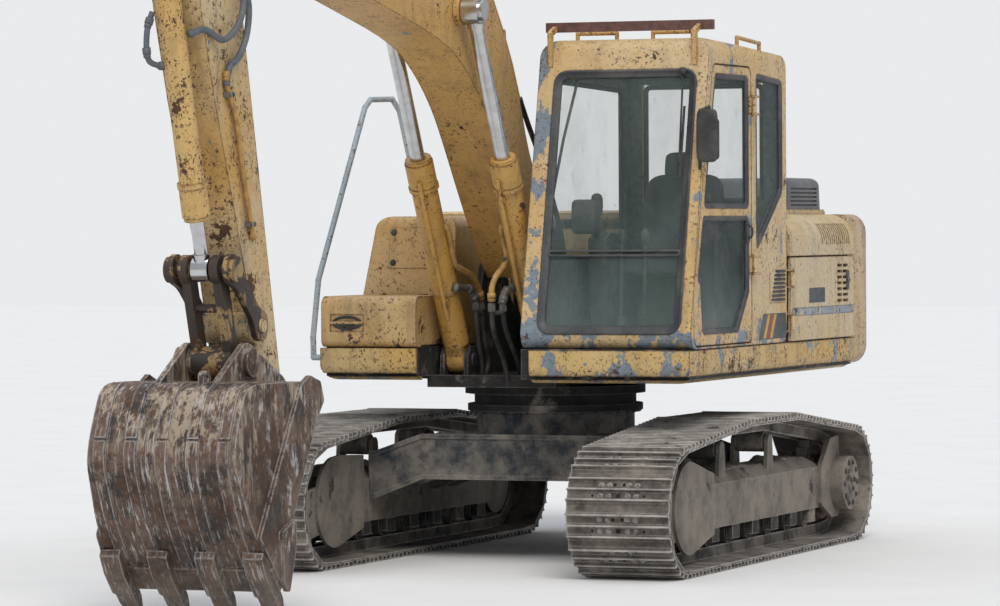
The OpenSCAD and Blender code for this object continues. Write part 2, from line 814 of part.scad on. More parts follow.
module cab_body(inset) {
    intersection() {
        slab((cab_in + cab_x) / 2, cab_w - 2 * inset) cab_side_2d(inset);
        rotate([90, 0, 0]) linear_extrude(2 * tail_r, center = true) cab_end_2d(inset);
    }
}

// Door opening and the fixed pane behind it, as (forward, up) outlines
door_sill = seam_z + 12;
door_head = cab_top - 150;
door_rear = 105;
module door_2d(inset) {
    offset(delta = -inset) round_2d(60) polygon([
        [door_rear, door_sill], [cab_front - 75, door_sill], [cab_front - 75, seam_z + 330],
        [cab_front_at(door_head) - 75, door_head], [door_rear, door_head]]);
}

module rear_pane_2d() {
    round_2d(40) polygon([
        [20, 1790], [20, 2830], [cab_back + 80, 2800], [cab_back + 80, 2140]]);
}

// Front window, drawn as (across, up) on the leaning front
glass_x = [cab_in + 95, cab_x - 62];
glass_z = [1335, 2835];
module front_pane_2d(inset) {
    round_2d(85) translate([glass_x[0] + inset, glass_z[0] + inset])
        square([glass_x[1] - glass_x[0] - 2 * inset, glass_z[1] - glass_z[0] - 2 * inset]);
}

module front_pane(inset, depth, off) {
    intersection() {
        rotate([90, 0, 0]) linear_extrude(2 * cab_front + 200, center = true)
            front_pane_2d(inset);
        slab((cab_in + cab_x) / 2, cab_w) polygon([
            [cab_front_at(glass_z[0] - 60) - off, glass_z[0] - 60],
            [cab_front_at(glass_z[0] - 60) - off - depth, glass_z[0] - 60],
            [cab_front_at(glass_z[1] + 60) - off - depth, glass_z[1] + 60],
            [cab_front_at(glass_z[1] + 60) - off, glass_z[1] + 60]]);
    }
}

module right_pane_2d() {
    round_2d(60) polygon([
        [cab_back + 90, 1750], [cab_front_at(1750) - 110, 1750],
        [cab_front_at(2800) - 110, 2800], [cab_back + 90, 2770]]);
}

rear_glass = [cab_in + 130, cab_x - 130, 2080, 2790];

module cab_frame() {
    color(yellow) at_swing() for (z = cab_hinge_z)
        hinge_pin([door_axis[0], door_axis[1], z], [door_rear - 3, door_rear - 45], cab_x - 8);
    color(yellow) at_swing() difference() {
        cab_body(0);
        difference() {
            cab_body(cab_wall);
            span([0, 2000, -2000, 2000, 0, seam_z + 60]);
        }
        front_pane(0, 160, -30);
        slab(cab_x, 2 * cab_wall + 20) door_2d(0);
        slab(cab_x, 2 * cab_wall + 20) rear_pane_2d();
        slab(cab_in, 2 * cab_wall + 20) right_pane_2d();
        span([rear_glass[0], rear_glass[1], cab_back - 10, cab_back + 60,
              rear_glass[2], rear_glass[3]]);
    }
}

door_t = cab_wall - 8;
door_axis = [cab_x + 26, door_rear + 26];
cab_hinge_z = [seam_z + 420, cab_top - 420];
module cab_door() {
    x = cab_x - door_t / 2 - 1;
    color(yellow) at_swing() {
        difference() {
            intersection() {
                slab(x, door_t) door_2d(7);
                cab_body(1);
            }
            slab(x, door_t + 40) door_window_2d(0, 1);
            slab(x, door_t + 40) door_window_2d(0, 0);
        }
        for (z = cab_hinge_z)
            hinge_knuckle([door_axis[0], door_axis[1], z], door_axis[1] + 24, cab_x - 1);
    }
}

// Upper (1) and lower (0) panes of the door
module door_window_2d(inset, upper) {
    mid = 2020;
    offset(delta = -inset) round_2d(40) intersection() {
        door_2d(55);
        if (upper == 1)
            translate([0, mid + 22]) square([2000, 1000]);
        else
            polygon([[door_rear + 55, mid - 22], [2000, mid - 22], [2000, 1640],
                     [cab_front - 190, 1620], [cab_front - 230, 1330],
                     [door_rear + 260, 1330], [door_rear + 55, 1560]]);
    }
}

glass_t = 6;
module cab_glass() {
    color(glass_green) at_swing() {
        front_pane(seat, glass_t, 20);
        slab(cab_x - 20, glass_t) offset(delta = -seat) rear_pane_2d();
        slab(cab_in + 20, glass_t) offset(delta = -seat) right_pane_2d();
        span([rear_glass[0] + seat, rear_glass[1] - seat, cab_back + 20, cab_back + 20 + glass_t,
              rear_glass[2] + seat, rear_glass[3] - seat]);
    }
}

module door_glass() {
    color(glass_green) at_swing()
        for (upper = [0, 1])
            slab(cab_x - 22, glass_t) door_window_2d(seat, upper);
}

seat_x = (cab_in + cab_x) / 2;
cab_floor = seam_z + 60;
module operator_seat() {
    color(black) at_swing() {
        span([seat_x - 170, seat_x + 170, -180, 220, cab_floor + seat, cab_floor + 330]);
        slab(seat_x, 500) round_2d(40) polygon([
            [-210, cab_floor + 328], [320, cab_floor + 350], [320, cab_floor + 470],
            [-80, cab_floor + 440], [-190, cab_floor + 1080], [-310, cab_floor + 1060]]);
    }
}

module cab_consoles() {
    color(black) at_swing() {
        for (s = [-1, 1]) {
            x = seat_x + s * 330;
            slab(x, 110) round_2d(30) polygon([
                [-200, cab_floor + seat], [380, cab_floor + seat], [430, cab_floor + 560],
                [330, cab_floor + 600], [-200, cab_floor + 520]]);
            tube([x, 370, cab_floor + 560], [x, 410, cab_floor + 720], 13);
            tube([x, 405, cab_floor + 700], [x, 425, cab_floor + 800], 26);
        }
        for (s = [-1, 1]) {
            x = seat_x + s * 70;
            tube([x, 760, cab_floor + 20], [x, 720, cab_floor + 560], 11);
            span([x - 40, x + 40, 700, 860, cab_floor + seat, cab_floor + 40]);
        }
    }
}

// Rails and guard over the cab front
module roof_guard() {
    z = cab_top - 20;
    front = cab_front - cab_rake;
    x0 = cab_in + 40;
    x1 = cab_x - 30;
    bend = [[front + 30, z - 130], [front + 42, z + 50], [front - 62, z + 92]];
    color(yellow) at_swing() {
        // Posts bent from strap, following the cab front
        for (x = [x0 + 30, x1 - 50])
            slab(x, 28) difference() {
                for (i = [0, 1])
                    hull() {
                        translate(bend[i]) circle(r = 14);
                        translate(bend[i + 1]) circle(r = 14);
                    }
                offset(delta = seat) cab_side_2d(0);
            }
        span([x0 - 30, x1 + 30, front - 80, front - 44, z + 62, z + 118]);
        difference() {
            union() {
                for (x = [x0 + 90, x1 - 400])
                    bent_tube([[x, front - 250, z - 60], [x, front - 250, z + 60],
                               [x + 240, front - 250, z + 60], [x + 240, front - 250, z - 60]], 12);
                bent_tube([[x1 - 110, -60, cab_top - 90], [x1 - 110, -60, cab_top + 30],
                           [x1 - 110, -480, cab_top + 10], [x1 - 110, -480, cab_top - 110]], 12);
            }
            slab((cab_in + cab_x) / 2, 2 * cab_w) offset(delta = seat) cab_side_2d(0);
        }
    }
}

module side_mirror() {
    x = cab_x + 52;
    p = cab_front - 205;
    color(black) at_swing() difference() {
        union() {
            bent_tube([[cab_x - 12, cab_front_at(2250) - 12, 2250], [cab_x + 6, p + 20, 2590],
                       [x, p, 2610], [x, p, 2500]], 10);
            translate([x, -p, 2430]) rotate([0, 0, 12]) hull() {
                for (dx = [-34, 34], dz = [-95, 95])
                    translate([dx, 0, dz]) rotate([90, 0, 0])
                        cylinder(r = 22, h = 36, center = true);
            }
        }
        cab_body(0);
    }
}

module grab_rail() {
    x = -box_x - 12;
    color(steel_dark) at_swing() difference() {
        bent_tube([[x + 10, box_front + 8, skirt_z + 130], [x - 26, box_front + 26, skirt_z + 132],
                   [x - 28, box_front + 26, seam_z + 60], [x - 30, box_front - 60, 1640],
                   [x + 10, 230, 2660], [x + 14, 150, 2710], [x + 30, -150, 2720],
                   [x + 60, -190, 2650], [x + 140, -360, house_z - 30]], 17);
        translate([0, -swing_y, 0]) {
            fuel_tank();
            skirts_right();
        }
    }
}

// Boom: box curved at its knee, with a fork for the arm
boom_top = [
    [100, 1980], [447, 2335], [620, 2729], [883, 3095], [1200, 3400], [1600, 3580],
    [2400, 3680], [4210, 3720], [4850, 3780]];
boom_under = [
    [4850, 3530], [2765, 3159], [1750, 2980], [1422, 2821], [1172, 2636], [1002, 2448],
    [714, 2087], [409, 1740], [294, 1645]];

// Rounds the corners of an open line of points, keeping its ends
function cut_corners(q) = concat([q[0]],
    [for (i = [1:len(q) - 2], k = [0, 1])
        k == 0 ? 0.25 * q[i - 1] + 0.75 * q[i] : 0.75 * q[i] + 0.25 * q[i + 1]],
    [q[len(q) - 1]]);
boom_edge = cut_corners(cut_corners(boom_top));

module boom_2d() {
    polygon(concat(boom_edge, cut_corners(cut_corners(boom_under))));
}

module boom() {
    boss_x = boom_half + 41;
    color(yellow) at_swing() difference() {
        union() {
            difference() {
                slab(boom_x, boom_w) union() {
                    boom_2d();
                    disc_2d(boom_foot, 148);
                    disc_2d(boom_tip, 150);
                }
                // room in the fork for the arm and its lever
                slab(boom_x, arm_w + 2 * side_gap) polygon([
                    [4040, 4000], [4040, 3700], [4360, 3560], [4400, 3300], [5200, 3000],
                    [5200, 4000]]);
            }
            for (s = [-1, 1]) {
                bar(boom_tip, 115, boom_x + (s > 0 ? boom_half - 1 : -boom_half - 24),
                    boom_x + (s > 0 ? boom_half + 24 : -boom_half + 1));
                bar(ram_eye, 80, boom_x + (s > 0 ? boom_half - 1 : -boss_x),
                    boom_x + (s > 0 ? boss_x : -boom_half + 1));
            }
            slabs(boom_x, 62, 30) round_2d(25) polygon([
                [1990, 3560], [2290, 3600], [2205, 3935], [2085, 3935]]);
        }
        bar(boom_foot, 50 + pin_gap, boom_x - 400, boom_x + 400);
        bar(boom_tip, 50 + pin_gap, boom_x - 400, boom_x + 400);
    }
    color(yellow) at_swing() bar(arm_ram_foot, 40, boom_x - 102, boom_x + 102);
}

// Oil pipes along the top of the boom
pipe_r = 15;
module boom_pipes() {
    path = [for (i = [6:2:24]) boom_edge[i] + (pipe_r + 8) * unit_out(boom_edge[i + 1]
        - boom_edge[i - 1])];
    line = concat(path, [[3700, 3728 + pipe_r]]);
    color(yellow) at_swing() {
        for (s = [-1, 1], k = [0, 1])
            bent_tube([for (q = line) [boom_x + s * (110 + k * 36), q[0], q[1]]], pipe_r);
        // clips that hold each pair down on the boom
        for (s = [-1, 1], i = [2, 5, 9])
            slab(boom_x + s * 127, 72) difference() {
                hull() {
                    disc_2d(line[i], pipe_r + 5);
                    disc_2d(line[i] - [0, 30], pipe_r + 8);
                }
                offset(delta = seat) boom_2d();
            }
    }
}

function unit_out(d) = [-d[1], d[0]] / norm(d);

// Cylinders: along a line from foot to eye
function len2(a, b) = norm(b - a);
function dir2(a, b) = atan2(b[1] - a[1], b[0] - a[0]);

// Children drawn with +Z along the line from the foot at x
module along(foot, eye, x) {
    a = dir2(foot, eye);
    translate([x, -foot[0], foot[1]]) rotate([90 - a, 0, 0]) children();
}

// Barrel with its foot eye, collar and head, bored for its rod from the height "hole" up
module barrel(foot, eye, x, d, l, eye_w, pin_r, rod_d, hole) {
    color(yellow) along(foot, eye, x) difference() {
        union() {
            translate([0, 0, d * 0.75]) cylinder(d = d, h = l - d * 0.75);
            translate([0, 0, l - 170]) cylinder(d = d + 14, h = 150);
            translate([0, 0, l - 195]) cylinder(d = d + 24, h = 26);
            translate([-eye_w / 2, 0, 0]) rotate([0, 90, 0]) cylinder(r = d * 0.5, h = eye_w);
            translate([-eye_w / 2, -d * 0.36, 0]) cube([eye_w, d * 0.72, d * 0.8]);
        }
        translate([-eye_w, 0, 0]) rotate([0, 90, 0])
            cylinder(r = pin_r + pin_gap, h = 2 * eye_w);
        translate([0, 0, hole]) cylinder(d = rod_d + 2, h = l);
    }
}

// Rod with its eye, reaching into the barrel
module rod(foot, eye, x, d, reach, eye_w, eye_r) {
    l = len2(foot, eye);
    color(chrome_grey) along(foot, eye, x)
        translate([0, 0, l - reach]) cylinder(d = d, h = reach - eye_r * 0.5);
    color(steel_dark) along(foot, eye, x) {
        translate([-eye_w / 2, 0, l]) rotate([0, 90, 0]) cylinder(r = eye_r, h = eye_w);
        translate([0, 0, l - eye_r - 22]) cylinder(d = d + 16, h = 40);
    }
}

boom_barrel_l = 1330;
boom_rod_d = 84;
boom_eye_w = 96;
module boom_barrel(s) {
    x = boom_x + s * ram_dx;
    out = boom_cyl_d / 2;
    at_swing() {
        barrel(ram_foot, ram_eye, x, boom_cyl_d, boom_barrel_l, 110, 38, boom_rod_d, 150);
        color(yellow) along(ram_foot, ram_eye, x) {
            // pipe up the side of the barrel to its head, on two clips
            translate([-s * 20, -out - 20, 320]) cylinder(r = 13, h = boom_barrel_l - 420);
            for (z = [400, boom_barrel_l - 250])
                translate([-s * 20 - 20, -out - 26, z]) cube([40, 40, 40]);
        }
    }
}

module boom_rod(s) {
    x = boom_x + s * ram_dx;
    side = boom_eye_w / 2;
    at_swing() {
        rod(ram_foot, ram_eye, x, boom_rod_d, 1350, boom_eye_w, 78);
        color(steel_dark)
            bar(ram_eye, 58, x + (s > 0 ? side - 1 : -side - 22),
                x + (s > 0 ? side + 22 : -side + 1));
    }
}

arm_barrel_l = 1780;
arm_rod_d = 76;
module arm_barrel() {
    at_swing() barrel(arm_ram_foot, arm_ram_eye, boom_x, arm_cyl_d, arm_barrel_l, 110, 40,
        arm_rod_d, 450);
}

module arm_rod() {
    at_swing() rod(arm_ram_foot, arm_ram_eye, boom_x, arm_rod_d, 1420, 90, 66);
}

bucket_ram_l = len2(bucket_ram_foot, link_top);
bucket_barrel_l = bucket_ram_l - 260;
bucket_rod_d = 70;
module bucket_barrel() {
    at_swing() barrel(bucket_ram_foot, link_top, boom_x, bucket_cyl_d, bucket_barrel_l, 98, 36,
        bucket_rod_d, 220);
}

module bucket_rod() {
    at_swing() rod(bucket_ram_foot, link_top, boom_x, bucket_rod_d, bucket_ram_l - 330,
        90, 62);
}

// Arm: tapered box with its forked lever, the ram lugs and the tip
arm_fork = -525;
module arm_2d() {
    fillet_2d(120) round_2d(60) polygon([for (q = [
        [-790, -125], [-860, -70], [-860, 10], [-790, 50], [-200, 200], [150, 245],
        [600, 238], [1050, 218], [arm_l - 640, 120], [arm_l - 250, 118], [arm_l + 60, 85],
        [arm_l + 60, -95], [arm_l - 60, -128], [1280, -198], [200, -258], [-120, -240]])
        arm_pt(q[0], q[1])]);
}

module arm() {
    color(yellow) at_swing() {
        difference() {
            union() {
                slab(boom_x, arm_w) union() {
                    arm_2d();
                    disc_2d(bucket_pin, 100);
                    disc_2d(rocker_pin, 90);
                    disc_2d(arm_ram_eye, 92);
                }
                slabs(boom_x, 56, 30) round_2d(20) polygon([
                    arm_pt(270, 200), arm_pt(480, 200), arm_pt(455, 392), arm_pt(335, 392)]);
            }
            // fork for the eye of the arm ram and its rod, which drifts along it
            slab(boom_x, 90 + 2 * side_gap) polygon([
                arm_pt(-1100, -400), arm_pt(-1100, 300), arm_pt(arm_fork, 300),
                arm_pt(arm_fork, -400)]);
            bar(bucket_pin, 40 + pin_gap, boom_x - 200, boom_x + 200);
        }
        bar(boom_tip, 50, boom_x - boom_half - 36, boom_x + boom_half + 36);
        bar(rocker_pin, 36, boom_x - rocker_in - rocker_t - 14, boom_x + rocker_in + rocker_t + 14);
        bar(bucket_ram_foot, 36, boom_x - 94, boom_x + 94);
    }
}

// Rocker: two curved plates from the arm to the top of the bucket link
module rocker() {
    color(steel_dark) at_swing() {
        difference() {
            slabs(boom_x, rocker_in, rocker_t) fillet_2d(200) union() {
                disc_2d(rocker_pin, 78);
                disc_2d(link_top, 78);
                hull() {
                    disc_2d(rocker_pin, 48);
                    disc_2d((rocker_pin + link_top) / 2 + [16, 24], 52);
                }
                hull() {
                    disc_2d(link_top, 48);
                    disc_2d((rocker_pin + link_top) / 2 + [16, 24], 52);
                }
            }
            bar(rocker_pin, 36 + pin_gap, boom_x - 300, boom_x + 300);
        }
        for (s = [-1, 1])
            bar(link_top, 34, boom_x + (s > 0 ? 60 : -rocker_in - rocker_t - 26),
                boom_x + (s > 0 ? rocker_in + rocker_t + 26 : -60));
        for (s = [-1, 1])
            bar(link_top, 66, boom_x + (s > 0 ? rocker_in + rocker_t - 1 : -rocker_in - rocker_t - 26),
                boom_x + (s > 0 ? rocker_in + rocker_t + 26 : -rocker_in - rocker_t + 1));
    }
}

// Bucket link: an H of two bars, open at its eye on the bucket
link_in = 62;
link_t = 46;
module bucket_link() {
    color(steel_dark) at_swing() {
        difference() {
            slabs(boom_x, link_in, link_t) union() {
                disc_2d(link_top, 74);
                hull() {
                    disc_2d(link_top, 44);
                    disc_2d(link_eye, 44);
                }
                disc_2d(link_eye, 78);
            }
            bar(link_top, 34 + pin_gap, boom_x - 300, boom_x + 300);
        }
        bar(link_eye, 78, boom_x - link_in - 1, boom_x + link_in + 1);
        bar(link_top + (link_eye - link_top) * 0.42, 22, boom_x - link_in - 1,
            boom_x + link_in + 1);
    }
}

// Bucket: the shell's outline from the pin, as [forward, up], and the edge of its mouth
shell_pts = [
    [215, 78], [640, 88], [890, 80], [975, -55], [1066, -275], [990, -440], [905, -620],
    [655, -915]];
mouth_pts = [[491, -570], [209, -117], [140, -20], [175, 60]];
shell_line = cut_corners(cut_corners(shell_pts));
module bucket_2d() {
    translate(bucket_pin) polygon(concat(shell_line, mouth_pts));
}

module bucket_hollow_2d() {
    difference() {
        offset(delta = -bucket_t) translate(bucket_pin) polygon(concat(
            shell_line, [[400, -915], [80, -400], [80, 20]]));
        translate(bucket_pin) polygon([[60, 130], [60, 30], [215, 30], [215, 130]]);
    }
}

lip = bucket_pin + [655, -915];
lip_a = atan2(-196, -170);
mouth_top = bucket_pin + [150, -50];
// Room between the bucket's sides, which draw in from the mouth to the back
bucket_depth = 665;
module bucket_sides(inset) {
    w = bucket_w / 2 - inset;
    k = (bucket_w - bucket_back) / 2 / bucket_depth;
    along(lip, mouth_top, boom_x) linear_extrude(4000, center = true)
        polygon([[-w - 300 * k, 300], [w + 300 * k, 300], [w - 1300 * k, -1300],
                 [-w + 1300 * k, -1300]]);
}

module bucket() {
    color(worn_steel) at_swing() {
        difference() {
            intersection() {
                slab(boom_x, 2 * bucket_w) bucket_2d();
                bucket_sides(0);
            }
            intersection() {
                slab(boom_x, 2 * bucket_w) bucket_hollow_2d();
                bucket_sides(bucket_t);
            }
        }
        // Raised bar along each edge of the mouth, with its ear
        intersection() {
            slab(boom_x, 2 * bucket_w) translate(bucket_pin) round_2d(24) polygon([
                [655, -915], [491, -570], [209, -117], [118, -20], [150, 78], [262, 112],
                [353, 70], [860, -670]]);
            difference() {
                bucket_sides(-22);
                bucket_sides(1);
            }
        }
        // Ears with their bosses, open between them for arm and link
        difference() {
            union() {
                slabs(boom_x, ear_in, ear_t) fillet_2d(60) union() {
                    hull() {
                        disc_2d(bucket_pin, 105);
                        disc_2d(link_eye, 95);
                    }
                    polygon([bucket_pin + [-40, -60], bucket_pin + [215, 60],
                             bucket_pin + [780, 70], link_eye + [70, 70], link_eye]);
                }
                slabs(boom_x, ear_in + ear_t - 1, 26) disc_2d(bucket_pin, 75);
                slabs(boom_x, ear_in + ear_t - 1, 34) disc_2d(link_eye, 75);
            }
            bar(bucket_pin, 39, boom_x - 300, boom_x + 300);
        }
        for (s = [-1, 1])
            bar(link_eye, 60, boom_x + (s > 0 ? link_in + link_t + 6 : -ear_in - 1),
                boom_x + (s > 0 ? ear_in + 1 : -link_in - link_t - 6));
        bar(bucket_pin, 40, boom_x - ear_in - ear_t - 30, boom_x + ear_in + ear_t + 30);
        // Lip, adapters and teeth
        along(lip, lip + 100 * [cos(lip_a), sin(lip_a)], boom_x) {
            translate([-bucket_w / 2 - 6, -14, -120]) cube([bucket_w + 12, 34, 150]);
            for (i = [0:tooth_count - 1])
                translate([(i / (tooth_count - 1) - 0.5) * (bucket_w - 122), 0, 0]) {
                    adapter();
                    tooth();
                }
        }
        // Side cutters
        for (s = [-1, 1])
            slab(boom_x + s * (bucket_w / 2 + 22), 26) translate(bucket_pin) round_2d(20)
                polygon([[670, -650], [650, -910], [590, -965], [505, -740], [500, -590]]);
        // Wear strips round the back, in two lengths
        for (i = [0:4])
            slab(boom_x + (i - 2) * (bucket_back - 130) / 4, 62) difference() {
                offset(delta = 12) bucket_2d();
                bucket_2d();
                translate(bucket_pin) {
                    polygon([[-2000, -3000], [-2000, 3000], [820, 3000], [820, -60],
                             [500, -300], [700, -800], [700, -3000]]);
                    translate([900, -190]) square([400, 14]);
                }
            }
        // Lifting eye on the front of the top plate
        slab(boom_x + 130, 34) translate(bucket_pin) difference() {
            union() {
                translate([815, 112]) circle(r = 38);
                translate([777, 60]) square([76, 52]);
            }
            translate([815, 114]) circle(r = 16);
        }
    }
}

// Adapter clamped over the lip, and the tooth on its nose
module adapter() {
    rotate([0, 90, 0]) linear_extrude(108, center = true)
        polygon([[235, 10], [222, 44], [120, 66], [-20, 62], [-52, 42], [-52, -30],
                 [-10, -44], [100, -40], [112, -10]]);
}

module tooth() {
    intersection() {
        rotate([0, 90, 0]) linear_extrude(100, center = true)
            polygon([[-40, -26], [-40, 50], [-110, 46], [-225, 14], [-225, 2], [-120, -22]]);
        rotate([90, 0, 0]) linear_extrude(200, center = true)
            polygon([[-47, 38], [-47, 110], [-34, 230], [34, 230], [47, 110], [47, 38]]);
    }
}

frame_x = track_gauge / 2;
car_body();
at_swing() track_frame(frame_x, 1);  // track_frame_left
at_swing() track_frame(-frame_x, -1);  // track_frame_right
at_swing() track(frame_x);  // track_left
at_swing() track(-frame_x);  // track_right
at_swing() rollers(frame_x);  // rollers_left
at_swing() rollers(-frame_x);  // rollers_right
at_swing() idler(frame_x);  // idler_left
at_swing() idler(-frame_x);  // idler_right
at_swing() sprocket(frame_x, 1);  // sprocket_left
at_swing() sprocket(-frame_x, -1);  // sprocket_right
slew_ring();
revolving_frame();
skirt(cab_x, 300, cab_front, frame_back);  // skirt_left
skirts_right();  // skirt_right
counterweight();
engine_block();
engine_house();
engine_hood();
intake_box();
side_door(1);  // side_door_left
side_door(-1);  // side_door_right
fuel_tank();
tool_box();
tool_box_lid();
cab_frame();
cab_door();
cab_glass();
door_glass();
operator_seat();
cab_consoles();
roof_guard();
side_mirror();
grab_rail();
boom();
boom_pipes();
boom_barrel(1);  // boom_barrel_left
boom_rod(1);  // boom_rod_left
boom_barrel(-1);  // boom_barrel_right
boom_rod(-1);  // boom_rod_right
arm();
arm_barrel();
arm_rod();
bucket_barrel();
bucket_rod();
rocker();
bucket_link();
bucket();
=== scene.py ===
"""The looks and small parts of the crawler excavator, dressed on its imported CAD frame."""

import math
import random

import bmesh
import bpy
from mathutils import Matrix, Vector, noise


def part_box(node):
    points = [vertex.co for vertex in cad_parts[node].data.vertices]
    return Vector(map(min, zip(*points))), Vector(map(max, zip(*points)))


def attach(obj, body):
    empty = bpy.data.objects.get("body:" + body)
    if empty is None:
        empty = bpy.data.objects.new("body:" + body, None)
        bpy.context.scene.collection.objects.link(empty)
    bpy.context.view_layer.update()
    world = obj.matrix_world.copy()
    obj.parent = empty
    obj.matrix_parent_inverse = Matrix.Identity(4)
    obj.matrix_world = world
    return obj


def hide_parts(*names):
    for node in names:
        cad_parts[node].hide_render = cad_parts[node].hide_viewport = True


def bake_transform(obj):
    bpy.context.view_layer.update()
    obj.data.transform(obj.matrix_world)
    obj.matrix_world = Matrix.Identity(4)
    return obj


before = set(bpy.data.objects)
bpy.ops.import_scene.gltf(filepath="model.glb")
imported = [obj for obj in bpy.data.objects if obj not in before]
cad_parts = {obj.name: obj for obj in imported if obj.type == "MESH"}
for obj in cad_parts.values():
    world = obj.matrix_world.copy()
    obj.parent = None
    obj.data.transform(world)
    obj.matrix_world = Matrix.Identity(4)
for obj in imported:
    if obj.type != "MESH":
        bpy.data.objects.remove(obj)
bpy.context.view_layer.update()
scene = bpy.context.scene
rnd = random.Random(7)

# The swing axis stands at x 0 and y SWING_Y. Places are written (forward, left, up) from it.
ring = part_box("slew_ring")
SWING_Y = (ring[0][1] + ring[1][1]) / 2


def at(forward, left, up):
    """A place in the frame's own axes: x to the left, y backwards and z up."""
    return Vector((left, SWING_Y - forward, up))


def span(node):
    """The six sides of a CAD node's box, as distances forward, left and up."""
    low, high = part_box(node)
    return {"back": SWING_Y - high[1], "front": SWING_Y - low[1], "right": low[0], "left": high[0],
            "low": low[2], "high": high[2]}


# Faces of the CAD that the looks and small parts follow, in metres
skirt, cab, tank, belt = (span(n) for n in ("skirt_left", "cab_frame", "fuel_tank", "track_left"))
CAB_FRONT, CAB_BACK = skirt["front"], cab["back"]
CAB_LEFT, CAB_RIGHT = skirt["left"], cab["right"]
CAB_SEAM, CAB_TOP = cab["low"], 3.015
CAB_RAKE = 0.22096
ROOF_FRONT, ROOF_FALL, ROOF_CHAMFER = 0.845, 0.0498, 0.100
DOOR_FACE, HOUSE_FACE = 1.262, 1.272
TANK_FRONT, TANK_SEAM, TANK_RAKE = tank["front"], 1.310, 0.1087
TRACK_MIDDLE = (belt["right"] + belt["left"]) / 2
SIDES = ((1, "left"), (-1, "right"))

# Camera and light
CAMERA_PLACE = (9.434, SWING_Y - 25.225, 1.945)
CAMERA_WAY = (-0.3616, 0.9323, -0.0168)
CAMERA_ROLL = -0.34
LENS = 163.4

camera = bpy.data.objects.new("camera", bpy.data.cameras.new("camera"))
scene.collection.objects.link(camera)
scene.camera = camera
camera.data.sensor_width = 36
camera.data.lens = LENS
camera.data.clip_end = 200
camera.location = CAMERA_PLACE
camera.rotation_euler = Vector(CAMERA_WAY).normalized().to_track_quat("-Z", "Y").to_euler()
camera.rotation_euler.rotate_axis("Z", math.radians(CAMERA_ROLL))


def light_world(soft, backdrop):
    """Soft light from all round, and a plain backdrop where the camera looks past the floor."""
    world = bpy.data.worlds.new("world")
    scene.world = world
    world.use_nodes = True
    tree = world.node_tree
    tree.nodes.clear()
    out = tree.nodes.new("ShaderNodeOutputWorld")
    mix = tree.nodes.new("ShaderNodeMixShader")
    path = tree.nodes.new("ShaderNodeLightPath")
    tree.links.new(path.outputs["Is Camera Ray"], mix.inputs[0])
    for socket, (tint, strength) in enumerate((soft, backdrop), 1):
        shade = tree.nodes.new("ShaderNodeBackground")
        shade.inputs[0].default_value = (*tint, 1)
        shade.inputs[1].default_value = strength
        tree.links.new(shade.outputs[0], mix.inputs[socket])
    tree.links.new(mix.outputs[0], out.inputs[0])


def sun(name, way, angle, power, tint):
    """A lamp that shines in that way, its disc angle degrees wide."""
    lamp = bpy.data.lights.new(name, "SUN")
    lamp.angle = math.radians(angle)
    lamp.energy = power
    lamp.color = tint
    o = bpy.data.objects.new(name, lamp)
    o.rotation_euler = Vector(way).to_track_quat("-Z", "Y").to_euler()
    scene.collection.objects.link(o)


light_world(((0.86, 0.90, 0.97), 0.55), ((0.83, 0.84, 0.85), 0.985))
sun("key", (-0.45, 0.75, -1.0), 35, 1.9, (1, 0.98, 0.95))
sun("sky", (0.3, -0.2, -1.0), 70, 0.7, (0.93, 0.96, 1))


